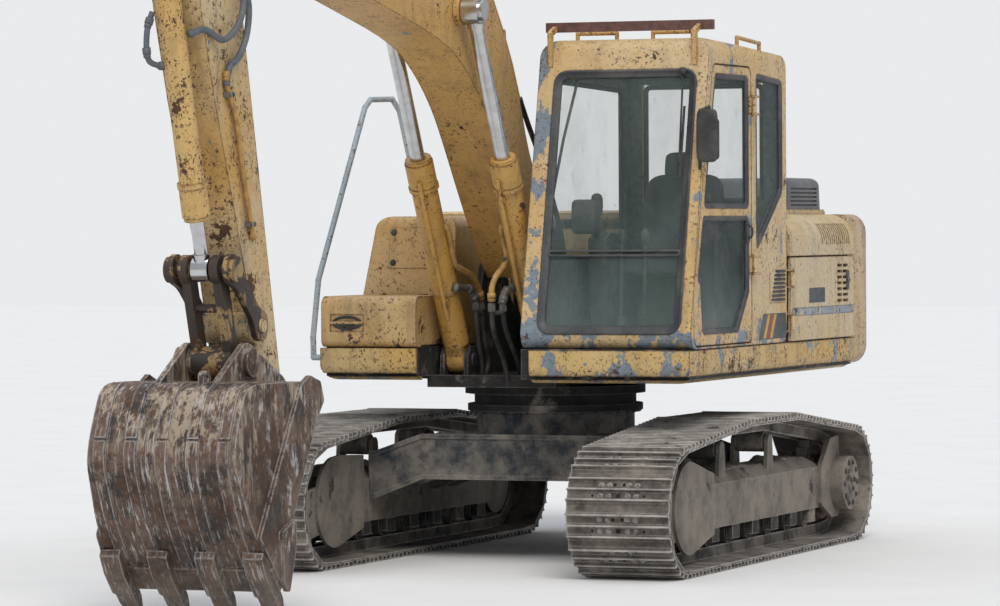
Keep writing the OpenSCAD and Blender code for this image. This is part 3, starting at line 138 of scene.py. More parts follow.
# Materials
class Look:
    """A material's node tree, with a short call for each kind of node used here."""

    def __init__(self, name):
        self.material = bpy.data.materials.new(name)
        self.material.use_nodes = True
        self.tree = self.material.node_tree
        self.tree.nodes.clear()
        out = self.node("OutputMaterial")
        self.shader = self.node("BsdfPrincipled")
        self.link(self.shader.outputs[0], out.inputs[0])
        self.place = self.node("TexCoord").outputs["Object"]
        self.normals = []

    def node(self, kind):
        """A new shader node, named without its prefix."""
        return self.tree.nodes.new("ShaderNode" + kind)

    def link(self, source, socket):
        self.tree.links.new(source, socket)

    def put(self, socket, value):
        """Links another node's output to the socket, or sets a plain number or colour on it."""
        if isinstance(value, bpy.types.NodeSocket):
            self.link(value, socket)
        elif isinstance(value, (tuple, list)) and len(value) == 3 and socket.type == "RGBA":
            socket.default_value = (*value, 1)
        else:
            socket.default_value = value

    def scaled(self, scale, shift=(0, 0, 0)):
        """The place on the object, stretched and moved before a pattern reads it."""
        n = self.node("Mapping")
        self.link(self.place, n.inputs[0])
        n.inputs["Scale"].default_value = scale
        n.inputs["Location"].default_value = shift
        return n.outputs[0]

    def noise(self, scale, detail=5, rough=0.6, vec=None, warp=0.0):
        """Clouds of about 1 / scale metres across, round 0.5."""
        n = self.node("TexNoise")
        self.link(vec or self.place, n.inputs["Vector"])
        n.inputs["Scale"].default_value = scale
        n.inputs["Detail"].default_value = detail
        n.inputs["Roughness"].default_value = rough
        n.inputs["Distortion"].default_value = warp
        return n.outputs[0]

    def step(self, value, low, high, a=0.0, b=1.0):
        """a below low and b above high, with a soft step between them."""
        n = self.node("MapRange")
        n.interpolation_type = "SMOOTHSTEP"
        self.put(n.inputs[0], value)
        for i, v in enumerate((low, high, a, b)):
            n.inputs[i + 1].default_value = v
        return n.outputs[0]

    def calc(self, op, a, b):
        """The result of a math node, kept between 0 and 1."""
        n = self.node("Math")
        n.operation = op
        n.use_clamp = True
        self.put(n.inputs[0], a)
        self.put(n.inputs[1], b)
        return n.outputs[0]

    def both(self, a, b):
        return self.calc("MULTIPLY", a, b)

    def mix(self, fac, a, b):
        n = self.node("Mix")
        n.data_type = "RGBA"
        self.put(n.inputs[0], fac)
        self.put(n.inputs[6], a)
        self.put(n.inputs[7], b)
        return n.outputs[2]

    def along(self, direction):
        """How far a place lies in that direction, in metres."""
        n = self.node("VectorMath")
        n.operation = "DOT_PRODUCT"
        self.link(self.place, n.inputs[0])
        n.inputs[1].default_value = direction
        return n.outputs["Value"]

    def edges(self, radius, low, high):
        """1 near a sharp edge, from where a rounded normal leaves the true one."""
        bevel = self.node("Bevel")
        bevel.samples = 4
        bevel.inputs[0].default_value = radius
        dot = self.node("VectorMath")
        dot.operation = "DOT_PRODUCT"
        self.link(bevel.outputs[0], dot.inputs[0])
        self.link(self.node("NewGeometry").outputs["Normal"], dot.inputs[1])
        return self.step(self.calc("SUBTRACT", 1.0, dot.outputs["Value"]), low, high)

    def bump(self, value, strength, distance):
        """Adds a fine relief of that depth in metres to those already there."""
        n = self.node("Bump")
        n.inputs["Strength"].default_value = strength
        n.inputs["Distance"].default_value = distance
        self.put(n.inputs["Height"], value)
        if self.normals:
            self.link(self.normals[-1], n.inputs["Normal"])
        self.normals.append(n.outputs[0])

    def done(self, color, rough, metal=0.0, **more):
        """Sets the shader's sockets, spaces in a name written as underscores."""
        self.put(self.shader.inputs["Base Color"], color)
        self.put(self.shader.inputs["Roughness"], rough)
        self.put(self.shader.inputs["Metallic"], metal)
        for name, value in more.items():
            self.put(self.shader.inputs[name.replace("_", " ")], value)
        if self.normals:
            self.link(self.normals[-1], self.shader.inputs["Normal"])
        return self.material


UP = (0, 0, 1)
FAR = 9
RUST = (0.115, 0.048, 0.024)
RUST_DARK = (0.045, 0.026, 0.018)
GREASE = (0.02, 0.018, 0.016)
MUD = (0.27, 0.228, 0.18)
MUD_PALE = (0.30, 0.275, 0.245)
DUST = (0.30, 0.27, 0.23)
YELLOW = (0.56, 0.335, 0.105)
YELLOW_FADED = (0.60, 0.425, 0.215)
CREAM = (0.60, 0.46, 0.27)
BLUE_GREY = (0.20, 0.245, 0.285)
BLUE = (0.035, 0.19, 0.26)
# Dark grey of the cab's inside: partly its trim's colour, partly painted shade inside the cab.
TRIM_DARK_AND_SHADE = ((0.13, 0.135, 0.135), (0.07, 0.072, 0.075))
BAR_RED = ((0.16, 0.075, 0.062), (0.085, 0.042, 0.036))

# The cab's inside is dark grey, partly the colour of its trim and partly painted shade inside
# the cab; the guard's bar has a red of its own. Each is the room between pairs of planes: a
# direction, and how far along it the room begins and ends.
SHEET = 0.0045
FRONT_WALL, REAR_WALL, FLOOR_WALL, ROOF_WALL = 0.0432, 0.041, 0.055, 0.030
ROOF = CAB_TOP - ROOF_FALL * (ROOF_FRONT - SWING_Y)
CAB_ROOM = (
    ((1, 0, 0), CAB_RIGHT + SHEET, CAB_LEFT - SHEET),
    ((0, 1, -CAB_RAKE), SWING_Y - CAB_FRONT - CAB_RAKE * CAB_SEAM + FRONT_WALL, FAR),
    ((0, 1, 0), -FAR, SWING_Y - CAB_BACK - REAR_WALL),
    (UP, CAB_SEAM + FLOOR_WALL, FAR),
    ((0, ROOF_FALL, 1), -FAR, ROOF - ROOF_WALL),
    ((1, -ROOF_FALL, -1), CAB_RIGHT + ROOF_CHAMFER - ROOF, FAR),
    ((-1, -ROOF_FALL, -1), ROOF_CHAMFER - CAB_LEFT - ROOF, FAR),
)
ROOF_BAR = ((UP, 3.055, FAR), ((0, 1, 0), SWING_Y - 0.812, SWING_Y - 0.752))


def darker(color, share):
    """The colour at a share of its strength."""
    return tuple(share * c for c in color)


def paint(name, base, faded, rust=0.5, patch=None, patch_at=0.63, grime=0.35, mud_to=1.35,
          edge=0.012, seed=0.0, patch_scale=2.1, inside=None, more_patch=(), tint=TRIM_DARK_AND_SHADE):
    """Old paint, faded in fields, patched, streaked, chipped to rust, and dusty below mud_to."""
    g = Look(name)
    field = g.step(g.noise(0.9, 4, 0.6, g.scaled((1, 1, 1), (seed, 3, 1))), 0.36, 0.66)
    fine = g.noise(26, 6, 0.65)
    grain = g.step(fine, 0.3, 0.7)
    streak = g.noise(1, 5, 0.65, g.scaled((9, 9, 0.9), (seed, 0, 0)))
    col = g.mix(field, base, faded)
    col = g.mix(g.step(fine, 0.35, 0.75, 0, 0.3), col, darker(base, 0.66))
    col = g.mix(g.step(streak, 0.46, 0.74, 0, grime), col, (0.12, 0.085, 0.055))
    if patch:
        blot = g.noise(patch_scale, 6, 0.66, g.scaled((1, 1, 0.7), (seed + 4, 1, 7)), 0.4)
        for way, begin, end, amount in more_patch:
            blot = g.calc("ADD", blot, g.step(g.along(way), begin, end, 0, amount))
        worn_patch = g.mix(g.step(fine, 0.4, 0.7), patch, darker(patch, 0.75))
        col = g.mix(g.step(blot, patch_at, patch_at + 0.015), col, worn_patch)

    # Rust: large spots, small ones near them, specks, scratched lines and rubbed edges
    big = g.noise(5.5, 9, 0.70, g.scaled((1, 1, 1), (seed, 8, 2)))
    small = g.noise(38, 6, 0.7, g.scaled((1, 1, 1), (seed, 2, 5)))
    dots = g.noise(75, 3, 0.6, g.scaled((1, 1, 0.8), (seed, 1, 3)))
    squiggle = g.noise(9, 3, 0.6, g.scaled((1, 1, 1.6), (seed, 6, 4)), 1.2)
    line = g.both(g.step(squiggle, 0.488, 0.497), g.step(squiggle, 0.512, 0.503))
    line = g.both(line, g.step(small, 0.54, 0.58))
    rim = g.both(g.edges(edge, 0.01, 0.14), g.step(small, 0.42 - 0.06 * rust, 0.50))
    top = 0.69 - 0.055 * rust
    spots = g.step(big, top, top + 0.015)
    specks = g.both(g.step(dots, 0.66 - 0.05 * rust, 0.68 - 0.05 * rust), g.step(big, 0.40, 0.50))
    near = g.both(g.step(small, 0.60 - 0.04 * rust, 0.62 - 0.04 * rust), g.step(big, 0.50, 0.60))
    worn = g.calc("MAXIMUM", spots, rim)
    for more in (specks, near, line):
        worn = g.calc("MAXIMUM", worn, more)
    col = g.mix(worn, col, g.mix(grain, RUST_DARK, RUST))

    dust = g.both(g.step(g.along(UP), mud_to, 0.2), g.step(g.noise(4, 7, 0.65), 0.3, 0.7))
    col = g.mix(dust, col, MUD)
    # The room takes the tint: the guard's bar its own red, the cab's inside a dark grey that is
    # partly trim colour and partly painted shade.
    if inside:
        room = 1.0
        for way, begin, end in inside:
            here = g.along(way)
            between = g.both(g.step(here, begin, begin + 0.003), g.step(here, end, end - 0.003))
            room = g.both(between, room)
        col = g.mix(room, col, g.mix(grain, *tint))
    g.bump(fine, 0.12, 0.004)
    g.bump(worn, 0.25, -0.003)
    return g.done(col, g.step(g.calc("ADD", worn, g.both(fine, 0.5)), 0.0, 1.2, 0.42, 0.92))


def muddy(name, base, dark, shine, mud_amount, edge=0.01):
    """Steel under dried mud and grease, rubbed bright along its edges."""
    g = Look(name)
    broad = g.noise(7, 8, 0.68)
    fine = g.noise(34, 7, 0.7)
    col = g.mix(g.step(broad, 0.35, 0.65), base, dark)
    cake = g.noise(3.2, 8, 0.7, g.scaled((1, 1, 1), (3, 1, 9)))
    cake = g.step(cake, 0.62 - 0.3 * mud_amount, 0.70)
    col = g.mix(cake, col, g.mix(g.step(fine, 0.35, 0.7), MUD, MUD_PALE))
    grease = g.step(g.noise(5, 6, 0.6, g.scaled((1, 1, 1), (11, 4, 0))), 0.62, 0.68)
    col = g.mix(g.both(grease, 0.8), col, GREASE)
    rim = g.both(g.edges(edge, 0.02, 0.18), g.step(fine, 0.36, 0.52))
    col = g.mix(g.both(rim, shine), col, (0.60, 0.575, 0.545))
    g.bump(fine, 0.5, 0.006)
    g.bump(broad, 0.5, 0.02)
    rough = g.step(g.calc("SUBTRACT", 1.0, g.both(rim, shine)), 0, 1, 0.38, 0.92)
    return g.done(col, rough, g.both(rim, 0.5 * shine))


def scraped(name):
    """The bucket: rusted steel with remains of paint above, and scraped bright along its wear."""
    g = Look(name)
    broad = g.noise(3.0, 9, 0.70, None, 0.3)
    fine = g.noise(30, 7, 0.72)
    upright = g.noise(1, 7, 0.7, g.scaled((34, 34, 2.4)))
    across = g.noise(1, 6, 0.7, g.scaled((70, 12, 5), (3, 2, 1)))
    col = g.mix(g.step(broad, 0.40, 0.58), (0.045, 0.026, 0.020), (0.150, 0.108, 0.085))
    col = g.mix(g.step(fine, 0.42, 0.62, 0, 0.8), col, (0.100, 0.046, 0.020))
    wet = g.step(g.noise(6.5, 7, 0.7, g.scaled((1, 1, 0.55), (1, 9, 2))), 0.52, 0.57, 0, 0.85)
    col = g.mix(wet, col, (0.022, 0.017, 0.015))
    remains = g.step(g.noise(4.2, 8, 0.75, g.scaled((1, 1, 0.6), (5, 5, 5))), 0.50, 0.56)
    remains = g.both(remains, g.both(g.step(upright, 0.44, 0.54), g.step(g.along(UP), 0.35, 1.15)))
    col = g.mix(g.both(remains, 0.85), col, (0.40, 0.325, 0.235))
    scrapes = g.both(g.step(across, 0.55, 0.63), g.step(broad, 0.40, 0.56))
    rim = g.both(g.edges(0.016, 0.02, 0.16), g.step(fine, 0.38, 0.54))
    bright = g.calc("MAXIMUM", scrapes, rim)
    col = g.mix(g.both(bright, 0.9), col, (0.50, 0.47, 0.455))
    low = g.both(g.step(g.along(UP), 0.45, 0.0), g.step(broad, 0.3, 0.6))
    col = g.mix(g.both(low, 0.6), col, (0.20, 0.17, 0.145))
    g.bump(fine, 0.35, 0.005)
    g.bump(upright, 0.25, 0.006)
    g.bump(broad, 0.4, 0.02)
    rough = g.step(g.calc("ADD", bright, g.both(wet, 0.6)), 0, 1, 0.78, 0.42)
    return g.done(col, rough, g.both(bright, 0.5))


def plain(name, color, rough, metal=0.0, vary=0.25, scale=20, dust=0.0):
    """One colour that varies a little, under some dust."""
    g = Look(name)
    grain = g.noise(scale, 5, 0.6)
    col = g.mix(g.step(grain, 0.3, 0.7), color, darker(color, 1 - vary))
    if dust:
        col = g.mix(g.step(g.noise(3, 6, 0.65), 0.4, 0.75, 0, dust), col, DUST)
    g.bump(grain, 0.1, 0.002)
    return g.done(col, g.step(grain, 0.2, 0.8, rough * 0.85, min(1, rough * 1.15)), metal)


def dusty_glass(name):
    """Clear glass with a film of dust, thicker low down, and some smears."""
    g = Look(name)
    film = g.step(g.noise(2.2, 6, 0.65, g.scaled((1, 1, 0.6))), 0.35, 0.75, 0.01, 0.10)
    low = g.step(g.along(UP), 1.80, 1.35, 0.0, 0.10)
    smear = g.noise(14, 6, 0.75, g.scaled((1, 1, 0.5), (2, 2, 2)))
    smear = g.step(smear, 0.60, 0.72, 0.0, 0.16)
    alpha = g.calc("ADD", g.calc("ADD", g.calc("ADD", film, low), smear), 0.07)
    return g.done((0.22, 0.30, 0.28), g.step(film, 0.02, 0.14, 0.05, 0.25), Alpha=alpha,
                  Specular_IOR_Level=0.6)


LOOKS = {
    # Painted plates and beams
    "yellow": paint("yellow_body", YELLOW, YELLOW_FADED, 0.6, (0.17, 0.115, 0.10), 0.68),
    "house": paint("yellow_house", (0.57, 0.41, 0.20), (0.58, 0.47, 0.31), 0.4, BLUE_GREY, 0.67,
                   seed=9),
    "lid": paint("yellow_lid", YELLOW, YELLOW_FADED, 0.8, (0.10, 0.062, 0.055), 0.60, 0.4, 1.0,
                 seed=12, patch_scale=7),
    "boom": paint("yellow_boom", (0.52, 0.295, 0.085), YELLOW, 0.7, (0.20, 0.22, 0.22), 0.70,
                  0.45, 0.2, seed=2, patch_scale=4),
    "ram": paint("yellow_ram", (0.56, 0.31, 0.07), YELLOW, 0.55, BLUE_GREY, 0.71, 0.35, 0.2,
                 seed=11, patch_scale=6),
    "arm": paint("yellow_arm", (0.55, 0.33, 0.10), CREAM, 1.3, BLUE, 0.655, 0.45, 0.9, seed=5,
                 patch_scale=7),
    "stick_ram": paint("yellow_arm_ram", (0.58, 0.33, 0.09), (0.60, 0.40, 0.15), 1.6, BLUE, 0.68,
                       0.4, 0.9, seed=15, patch_scale=6),
    # The cab's inside is painted dark grey: partly trim colour, partly painted shade inside the cab.
    "cab": paint("yellow_cab", (0.60, 0.39, 0.155), CREAM, 0.9, BLUE_GREY, 0.625, 0.35, seed=1,
                 patch_scale=4.5, inside=CAB_ROOM,
                 more_patch=(((-1, 0, 0), -0.40, -0.29, 0.20), ((0, 0, -1), -1.50, -1.32, 0.14))),
    "skirt": paint("yellow_skirt", (0.59, 0.36, 0.10), (0.60, 0.43, 0.19), 1.4, BLUE_GREY, 0.575,
                   0.45, 1.35, seed=3, patch_scale=5),
    "tail": paint("yellow_tail", (0.50, 0.34, 0.16), (0.50, 0.38, 0.25), 0.9, (0.19, 0.16, 0.15),
                  0.60, 0.6, 1.5, seed=6),
    "link": paint("linkage", (0.36, 0.235, 0.10), (0.19, 0.13, 0.075), 1.6,
                  (0.040, 0.032, 0.027), 0.47, 0.6, 1.0, seed=21, patch_scale=3.5),
    "rail": paint("rail_paint", (0.30, 0.36, 0.40), (0.42, 0.46, 0.48), 0.7, grime=0.3,
                  mud_to=0.3, edge=0.004, seed=8),
    "roof_bar": paint("yellow_guard", YELLOW, YELLOW_FADED, 1.2, grime=0.5, mud_to=0.2, seed=4,
                      edge=0.006, inside=ROOF_BAR, tint=BAR_RED),
    "stripe_blue": paint("stripe_blue", (0.24, 0.29, 0.33), (0.40, 0.42, 0.42), 1.2, CREAM, 0.60,
                         0.3, 0.2, seed=7, patch_scale=9),
    # Steel that works in mud
    "mud": muddy("muddy_frame", (0.235, 0.21, 0.175), (0.115, 0.10, 0.085), 0.3, 0.9),
    "beam": muddy("muddy_beam", (0.17, 0.155, 0.135), (0.030, 0.036, 0.046), 0.3, 0.55),
    "shoe": muddy("muddy_shoes", (0.185, 0.165, 0.14), (0.065, 0.055, 0.048), 1.0, 0.5, 0.016),
    "roller": muddy("greasy_rollers", (0.085, 0.076, 0.066), (0.03, 0.027, 0.025), 0.7, 0.45),
    "dark": muddy("greasy_dark", (0.035, 0.032, 0.030), (0.016, 0.015, 0.014), 0.3, 0.25),
    "worn_edge": muddy("worn_grousers", (0.46, 0.435, 0.40), (0.24, 0.22, 0.195), 1.0, 0.35,
                       0.006),
    "bucket": scraped("scraped_bucket"),
    # Plain materials
    "chrome": plain("rod_chrome", (0.62, 0.62, 0.62), 0.22, 1.0, 0.2, 14),
    "black": plain("black_trim", (0.028, 0.030, 0.033), 0.6, dust=0.35),
    "rubber": plain("hose_rubber", (0.022, 0.022, 0.023), 0.7, dust=0.4, scale=30),
    "grey_hose": plain("hose_grey", (0.11, 0.125, 0.145), 0.62, dust=0.3, scale=30),
    "seat": plain("seat_cloth", (0.050, 0.055, 0.062), 0.95, scale=90, dust=0.3),
    "intake": plain("intake_plastic", (0.135, 0.140, 0.155), 0.65, dust=0.35),
    "seal": plain("window_seal", (0.045, 0.050, 0.056), 0.6, dust=0.3, scale=40),
    "stripe_dark": plain("stripe_dark", (0.060, 0.068, 0.080), 0.6, dust=0.3),
    "stripe_red": plain("stripe_red", (0.34, 0.050, 0.035), 0.6, dust=0.25),
    "stripe_yellow": plain("stripe_yellow", (0.62, 0.36, 0.05), 0.6, dust=0.25),
    "pipe": plain("yellow_pipe", (0.52, 0.29, 0.075), 0.5, vary=0.5, scale=22, dust=0.15),
    "fitting": plain("grey_fitting", (0.17, 0.16, 0.145), 0.5, 0.4, 0.5, 30, 0.4),
    "clod": plain("dried_mud", (0.29, 0.25, 0.20), 0.98, vary=0.5, scale=30),
    # Near black: painted shade inside the track shoes' mud holes.
    "hole": plain("mud_hole_shade", (0.022, 0.019, 0.017), 0.95, vary=0.5, scale=60),
    "bolt": plain("bolt_steel", (0.10, 0.088, 0.078), 0.6, 0.4, 0.4, 40, 0.3),
    "glass": dusty_glass("dusty_glass"),
}

# Which CAD nodes wear each look
NODES_OF = {
    "beam": ["car_body"],
    "mud": ["track_frame_left", "track_frame_right", "sprocket_left", "sprocket_right"],
    "shoe": ["track_left", "track_right"],
    "roller": ["rollers_left", "rollers_right", "idler_left", "idler_right"],
    "dark": ["slew_ring", "revolving_frame", "engine_block"],
    "skirt": ["skirt_left", "skirt_right"],
    "tail": ["counterweight"],
    "house": ["engine_house", "engine_hood", "side_door_left", "side_door_right"],
    "intake": ["intake_box"],
    "yellow": ["fuel_tank"],
    "lid": ["tool_box", "tool_box_lid"],
    "cab": ["cab_frame", "cab_door"],
    "glass": ["cab_glass", "door_glass"],
    "seat": ["operator_seat"],
    "black": ["cab_consoles", "side_mirror"],
    "roof_bar": ["roof_guard"],
    "rail": ["grab_rail"],
    "boom": ["boom", "boom_pipes"],
    "ram": ["boom_barrel_left", "boom_barrel_right", "arm_barrel"],
    "chrome": ["boom_rod_left", "boom_rod_right", "arm_rod", "bucket_rod"],
    "arm": ["arm"],
    "stick_ram": ["bucket_barrel"],
    "link": ["rocker", "bucket_link"],
    "bucket": ["bucket"],
}
for look, names in NODES_OF.items():
    for name in names:
        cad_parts[name].data.materials.clear()
        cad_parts[name].data.materials.append(LOOKS[look])


# Mesh helpers
def shown(bm, name, look, smooth=True):
    """The mesh as an object in the scene, which rides on nothing yet."""
    mesh = bpy.data.meshes.new(name)
    bmesh.ops.recalc_face_normals(bm, faces=bm.faces)
    bm.to_mesh(mesh)
    bm.free()
    mesh.materials.append(LOOKS[look])
    for face in mesh.polygons:
        face.use_smooth = smooth
    o = bpy.data.objects.new(name, mesh)
    scene.collection.objects.link(o)
    return o


def riding(bm, name, body, look, smooth=True):
    """The mesh as a piece that moves with a body of the CAD."""
    o = shown(bm, name, look, smooth)
    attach(o, body)
    return o


def turns(count, start=0.0):
    """Angles that divide a full turn."""
    return [start + 2 * math.pi * k / count for k in range(count)]


def join_rings(bm, a, b):
    """A band of faces between two closed rings of vertices."""
    n = len(a)
    for k in range(n):
        bm.faces.new((a[k], a[(k + 1) % n], b[(k + 1) % n], b[k]))


def spline(points, per):
    """A smooth line through the points, with per steps from each to the next."""
    pts = [Vector(p) for p in points]
    pts = [2 * pts[0] - pts[1]] + pts + [2 * pts[-1] - pts[-2]]
    out = []
    for i in range(1, len(pts) - 2):
        a, b, c, d = pts[i - 1:i + 3]
        for k in range(per):
            t = k / per
            out.append(0.5 * (2 * b + (c - a) * t + (2 * a - 5 * b + 4 * c - d) * t * t
                              + (3 * b - a - 3 * c + d) * t ** 3))
    out.append(pts[-2])
    return out


def line_of(points):
    return spline([at(*p) for p in points], 7)


def sweep(bm, line, radius, segs, caps=True):
    """A tube of the given radius (or radii) along a line of points."""
    n = len(line)
    radii = radius if isinstance(radius, (list, tuple)) else [radius] * n
    side = None
    rings = []
    for i, c in enumerate(line):
        d = (line[min(i + 1, n - 1)] - line[max(i - 1, 0)]).normalized()
        side = (side - side.dot(d) * d if i else d.orthogonal()).normalized()
        up = d.cross(side)
        rings.append([bm.verts.new(c + radii[i] * (math.cos(a) * side + math.sin(a) * up))
                      for a in turns(segs)])
    for r0, r1 in zip(rings, rings[1:]):
        join_rings(bm, r0, r1)
    if caps:
        bm.faces.new(list(reversed(rings[0])))
        bm.faces.new(rings[-1])


def tubes(name, runs, body, look, smooth=True):
    """One piece made of several tubes, each given as sweep takes it."""
    bm = bmesh.new()
    for run in runs:
        sweep(bm, *run)
    return riding(bm, name, body, look, smooth)


def bolt(bm, place, normal, r):
    """A hexagon head with a bevelled crown, on its washer, turned at random."""
    head = r * 0.75
    n = Vector(normal).normalized()
    side = n.orthogonal().normalized()
    up = n.cross(side)
    turn = rnd.random() * 1.05

    def ring_at(radius, height, count):
        return [bm.verts.new(Vector(place) + n * height
                             + radius * (math.cos(t) * side + math.sin(t) * up))
                for t in turns(count, turn)]

    washer = [ring_at(r * 1.45, -0.001, 12), ring_at(r * 1.45, r * 0.18, 12)]
    crown = [ring_at(r, r * 0.17, 6), ring_at(r, head, 6), ring_at(r * 0.8, head * 1.18, 6)]
    for rows in (washer, crown):
        for a, b in zip(rows, rows[1:]):
            join_rings(bm, a, b)
        bm.faces.new(rows[-1])


def bolts(name, places, r, body, look="bolt"):
    """One piece of bolts at (place, normal) pairs."""
    bm = bmesh.new()
    for place, normal in places:
        bolt(bm, place, normal, r)
    return riding(bm, name, body, look, smooth=False)


def block(bm, corner, opposite, bevel):
    """A block with rounded edges between two corners."""
    lo, hi = Vector(corner), Vector(opposite)
    size = Matrix.Diagonal((*(hi - lo), 1))
    geo = bmesh.ops.create_cube(bm, size=1.0, matrix=Matrix.Translation((lo + hi) / 2) @ size)
    edges = list({e for v in geo["verts"] for e in v.link_edges})
    bmesh.ops.bevel(bm, geom=edges, offset=bevel, segments=2, affect="EDGES", profile=0.6)


def cushion(name, corner, opposite, body, look, cuts, power):
    """A crowned closed form that fills a box, its corners drawn in less as power grows."""
    bm = bmesh.new()
    bmesh.ops.create_cube(bm, size=2.0)
    bmesh.ops.subdivide_edges(bm, edges=bm.edges[:], cuts=cuts, use_grid_fill=True)
    lo, hi = Vector(corner), Vector(opposite)
    mid, half = (lo + hi) / 2, (hi - lo) / 2
    for v in bm.verts:
        c = v.co
        f = (abs(c.x) ** power + abs(c.y) ** power + abs(c.z) ** power) ** (-1 / power)
        v.co = mid + Vector((half.x * c.x * f, half.y * c.y * f, half.z * c.z * f))
    return riding(bm, name, body, look)


def box_outline(x0, x1, y0, y1):
    return [(x0, y0), (x1, y0), (x1, y1), (x0, y1)]


def rounded(outline, r):
    """The outline with each corner drawn as a curve of seven points."""
    out = []
    n = len(outline)
    for i in range(n):
        a, b, c = (Vector(outline[k % n]) for k in (i - 1, i, i + 1))
        d = min(r, (a - b).length * 0.45, (c - b).length * 0.45)
        s, e = b + (a - b).normalized() * d, b + (c - b).normalized() * d
        for j in range(7):
            t = j / 6
            out.append((1 - t) ** 2 * s + 2 * t * (1 - t) * b + t * t * e)
    return out


def inset(outline, w):
    """The outline's corners moved inwards by w."""
    n = len(outline)
    twice = sum(outline[i - 1][0] * outline[i][1] - outline[i][0] * outline[i - 1][1]
                for i in range(n))
    turn = 1 if twice > 0 else -1
    out = []
    for i in range(n):
        a, b, c = (Vector(outline[k % n]) for k in (i - 1, i, i + 1))
        d0, d1 = (b - a).normalized(), (c - b).normalized()
        n0, n1 = turn * Vector((-d0.y, d0.x)), turn * Vector((-d1.y, d1.x))
        out.append(tuple(b + (n0 + n1) * (w / (1 + n0.dot(n1)))))
    return out


def moulding(name, outline, r, rows, place, body, look, cap=False):
    """A closed band along an outline, or with cap a plate. Its section's rows are (inset, lift)."""
    bm = bmesh.new()
    loops = [[bm.verts.new(place(x, y, lift))
              for x, y in rounded(inset(outline, w), max(r - w, 0.004))] for w, lift in rows]
    for a, b in zip(loops, loops[1:]):
        join_rings(bm, a, b)
    if cap:
        bm.faces.new(loops[0])
        bm.faces.new(loops[-1])
    else:
        join_rings(bm, loops[-1], loops[0])
    return riding(bm, name, body, look, smooth=not cap)


def plate(name, outline, place, body, look, lift, r=0.01):
    """A thin plate or decal on a face, its corners rounded by r."""
    rows = [(0, -0.001), (0, lift * 0.6), (min(0.003, lift), lift)]
    return moulding(name, outline, r, rows, place, body, look, True)


# Faces that plates and seals lie on. Each gives a place from its two places on the face and its
# lift, which is how far it stands out of it.
def side_face(left, way):
    """An upright face that looks left, or right where way is -1."""
    return lambda forward, up, lift: at(forward, left + way * lift, up)


def front_face(left, up, lift):
    return at(CAB_FRONT - (up - CAB_SEAM) * CAB_RAKE + lift, left, up)


def tank_face(left, up, lift):
    return at(TANK_FRONT - (up - TANK_SEAM) * TANK_RAKE + lift, left, up)


def rear_face(left, up, lift):
    return at(CAB_BACK - lift, left, up)


# Tracks. Each wheel is (forward, up, the radius of the shoes' inner faces round it). What stands
# on a shoe is placed along it by a share of its pitch, and aside in metres.
SHOES = 45
IDLER, SPROCKET = (1.5925, 0.3675, 0.3295), (-1.6025, 0.3575, 0.3195)
CARRIERS = ((0.470, 0.663, 0.134), (-0.430, 0.663, 0.134))
SHOE_PLATE = 0.012
GROUSER_TIP = 0.0335
GROUSERS = (-0.33, 0.0, 0.33)
GROUSER_STOPS = (-0.298, -0.290, -0.15, 0.0, 0.15, 0.290, 0.298)
BOLT_ROWS = (-0.17, 0.17)
BOLT_STEPS = (-0.105, -0.055, 0.055, 0.105)
# MUD_HOLES: (along, aside, radius) of near-black discs, painted shade inside the shoes' mud holes.
MUD_HOLES = ((-0.17, 0.0, 0.013), (0.17, -0.027, 0.010), (0.17, 0.027, 0.010),
             (-0.17, -0.15, 0.008), (-0.17, 0.15, 0.008))
ROLLERS, ROLLER_BACK, ROLLER_PITCH, ROLLER_UP = 7, -1.1825, 0.3692, 0.186


def belt_places(count):
    """The belt of the CAD tracks: each shoe's (forward, up, outward angle, pitch)."""
    wheels = [IDLER, *CARRIERS, SPROCKET]
    normals, lines = [-math.pi / 2], []
    for (p0, z0, r0), (p1, z1, r1) in zip(wheels, wheels[1:]):
        gap = math.hypot(p1 - p0, z1 - z0)
        slope = math.atan2(z1 - z0, p1 - p0) % (2 * math.pi)
        normals.append(slope - math.acos((r0 - r1) / gap))
        lines.append(math.sqrt(gap ** 2 - (r0 - r1) ** 2))
    normals.append(1.5 * math.pi)
    lines.append(0)
    ground = wheels[0][0] - wheels[-1][0]
    arcs = [w[2] * (normals[i + 1] - normals[i]) for i, w in enumerate(wheels)]
    pitch = (ground + sum(arcs) + sum(lines)) / count
    out = []
    for i in range(count):
        s = (i + 0.5) * pitch
        if s < ground:
            out.append((SPROCKET[0] + s, SPROCKET[1] - SPROCKET[2], -math.pi / 2, pitch))
            continue
        s -= ground
        k = 0
        while k < 3 and s > arcs[k] + lines[k]:
            s -= arcs[k] + lines[k]
            k += 1
        p, z, r = wheels[k]
        a = normals[k] + min(s, arcs[k]) / r
        t = max(0, s - arcs[k])
        out.append((p + r * math.cos(a) - t * math.sin(a), z + r * math.sin(a) + t * math.cos(a),
                    a, pitch))
    return out


def on_shoe(shoe, left, along, lift):
    """A place on a shoe: along it by a share of the pitch, and lift over its inner face."""
    p, z, a, pitch = shoe
    step = along * pitch
    return at(p + math.cos(a) * lift - math.sin(a) * step, left,
              z + math.sin(a) * lift + math.cos(a) * step)


def out_of(shoe):
    """The way that a shoe's outer face looks."""
    return Vector((0, -math.cos(shoe[2]), math.sin(shoe[2])))


def round_axle(wheel, radius, left, angles, way):
    """Bolts' places on a circle round a wheel's axle, on a face that looks sideways."""
    return [(at(wheel[0] + radius * math.cos(t), left, wheel[1] + radius * math.sin(t)),
             (way, 0, 0)) for t in angles]


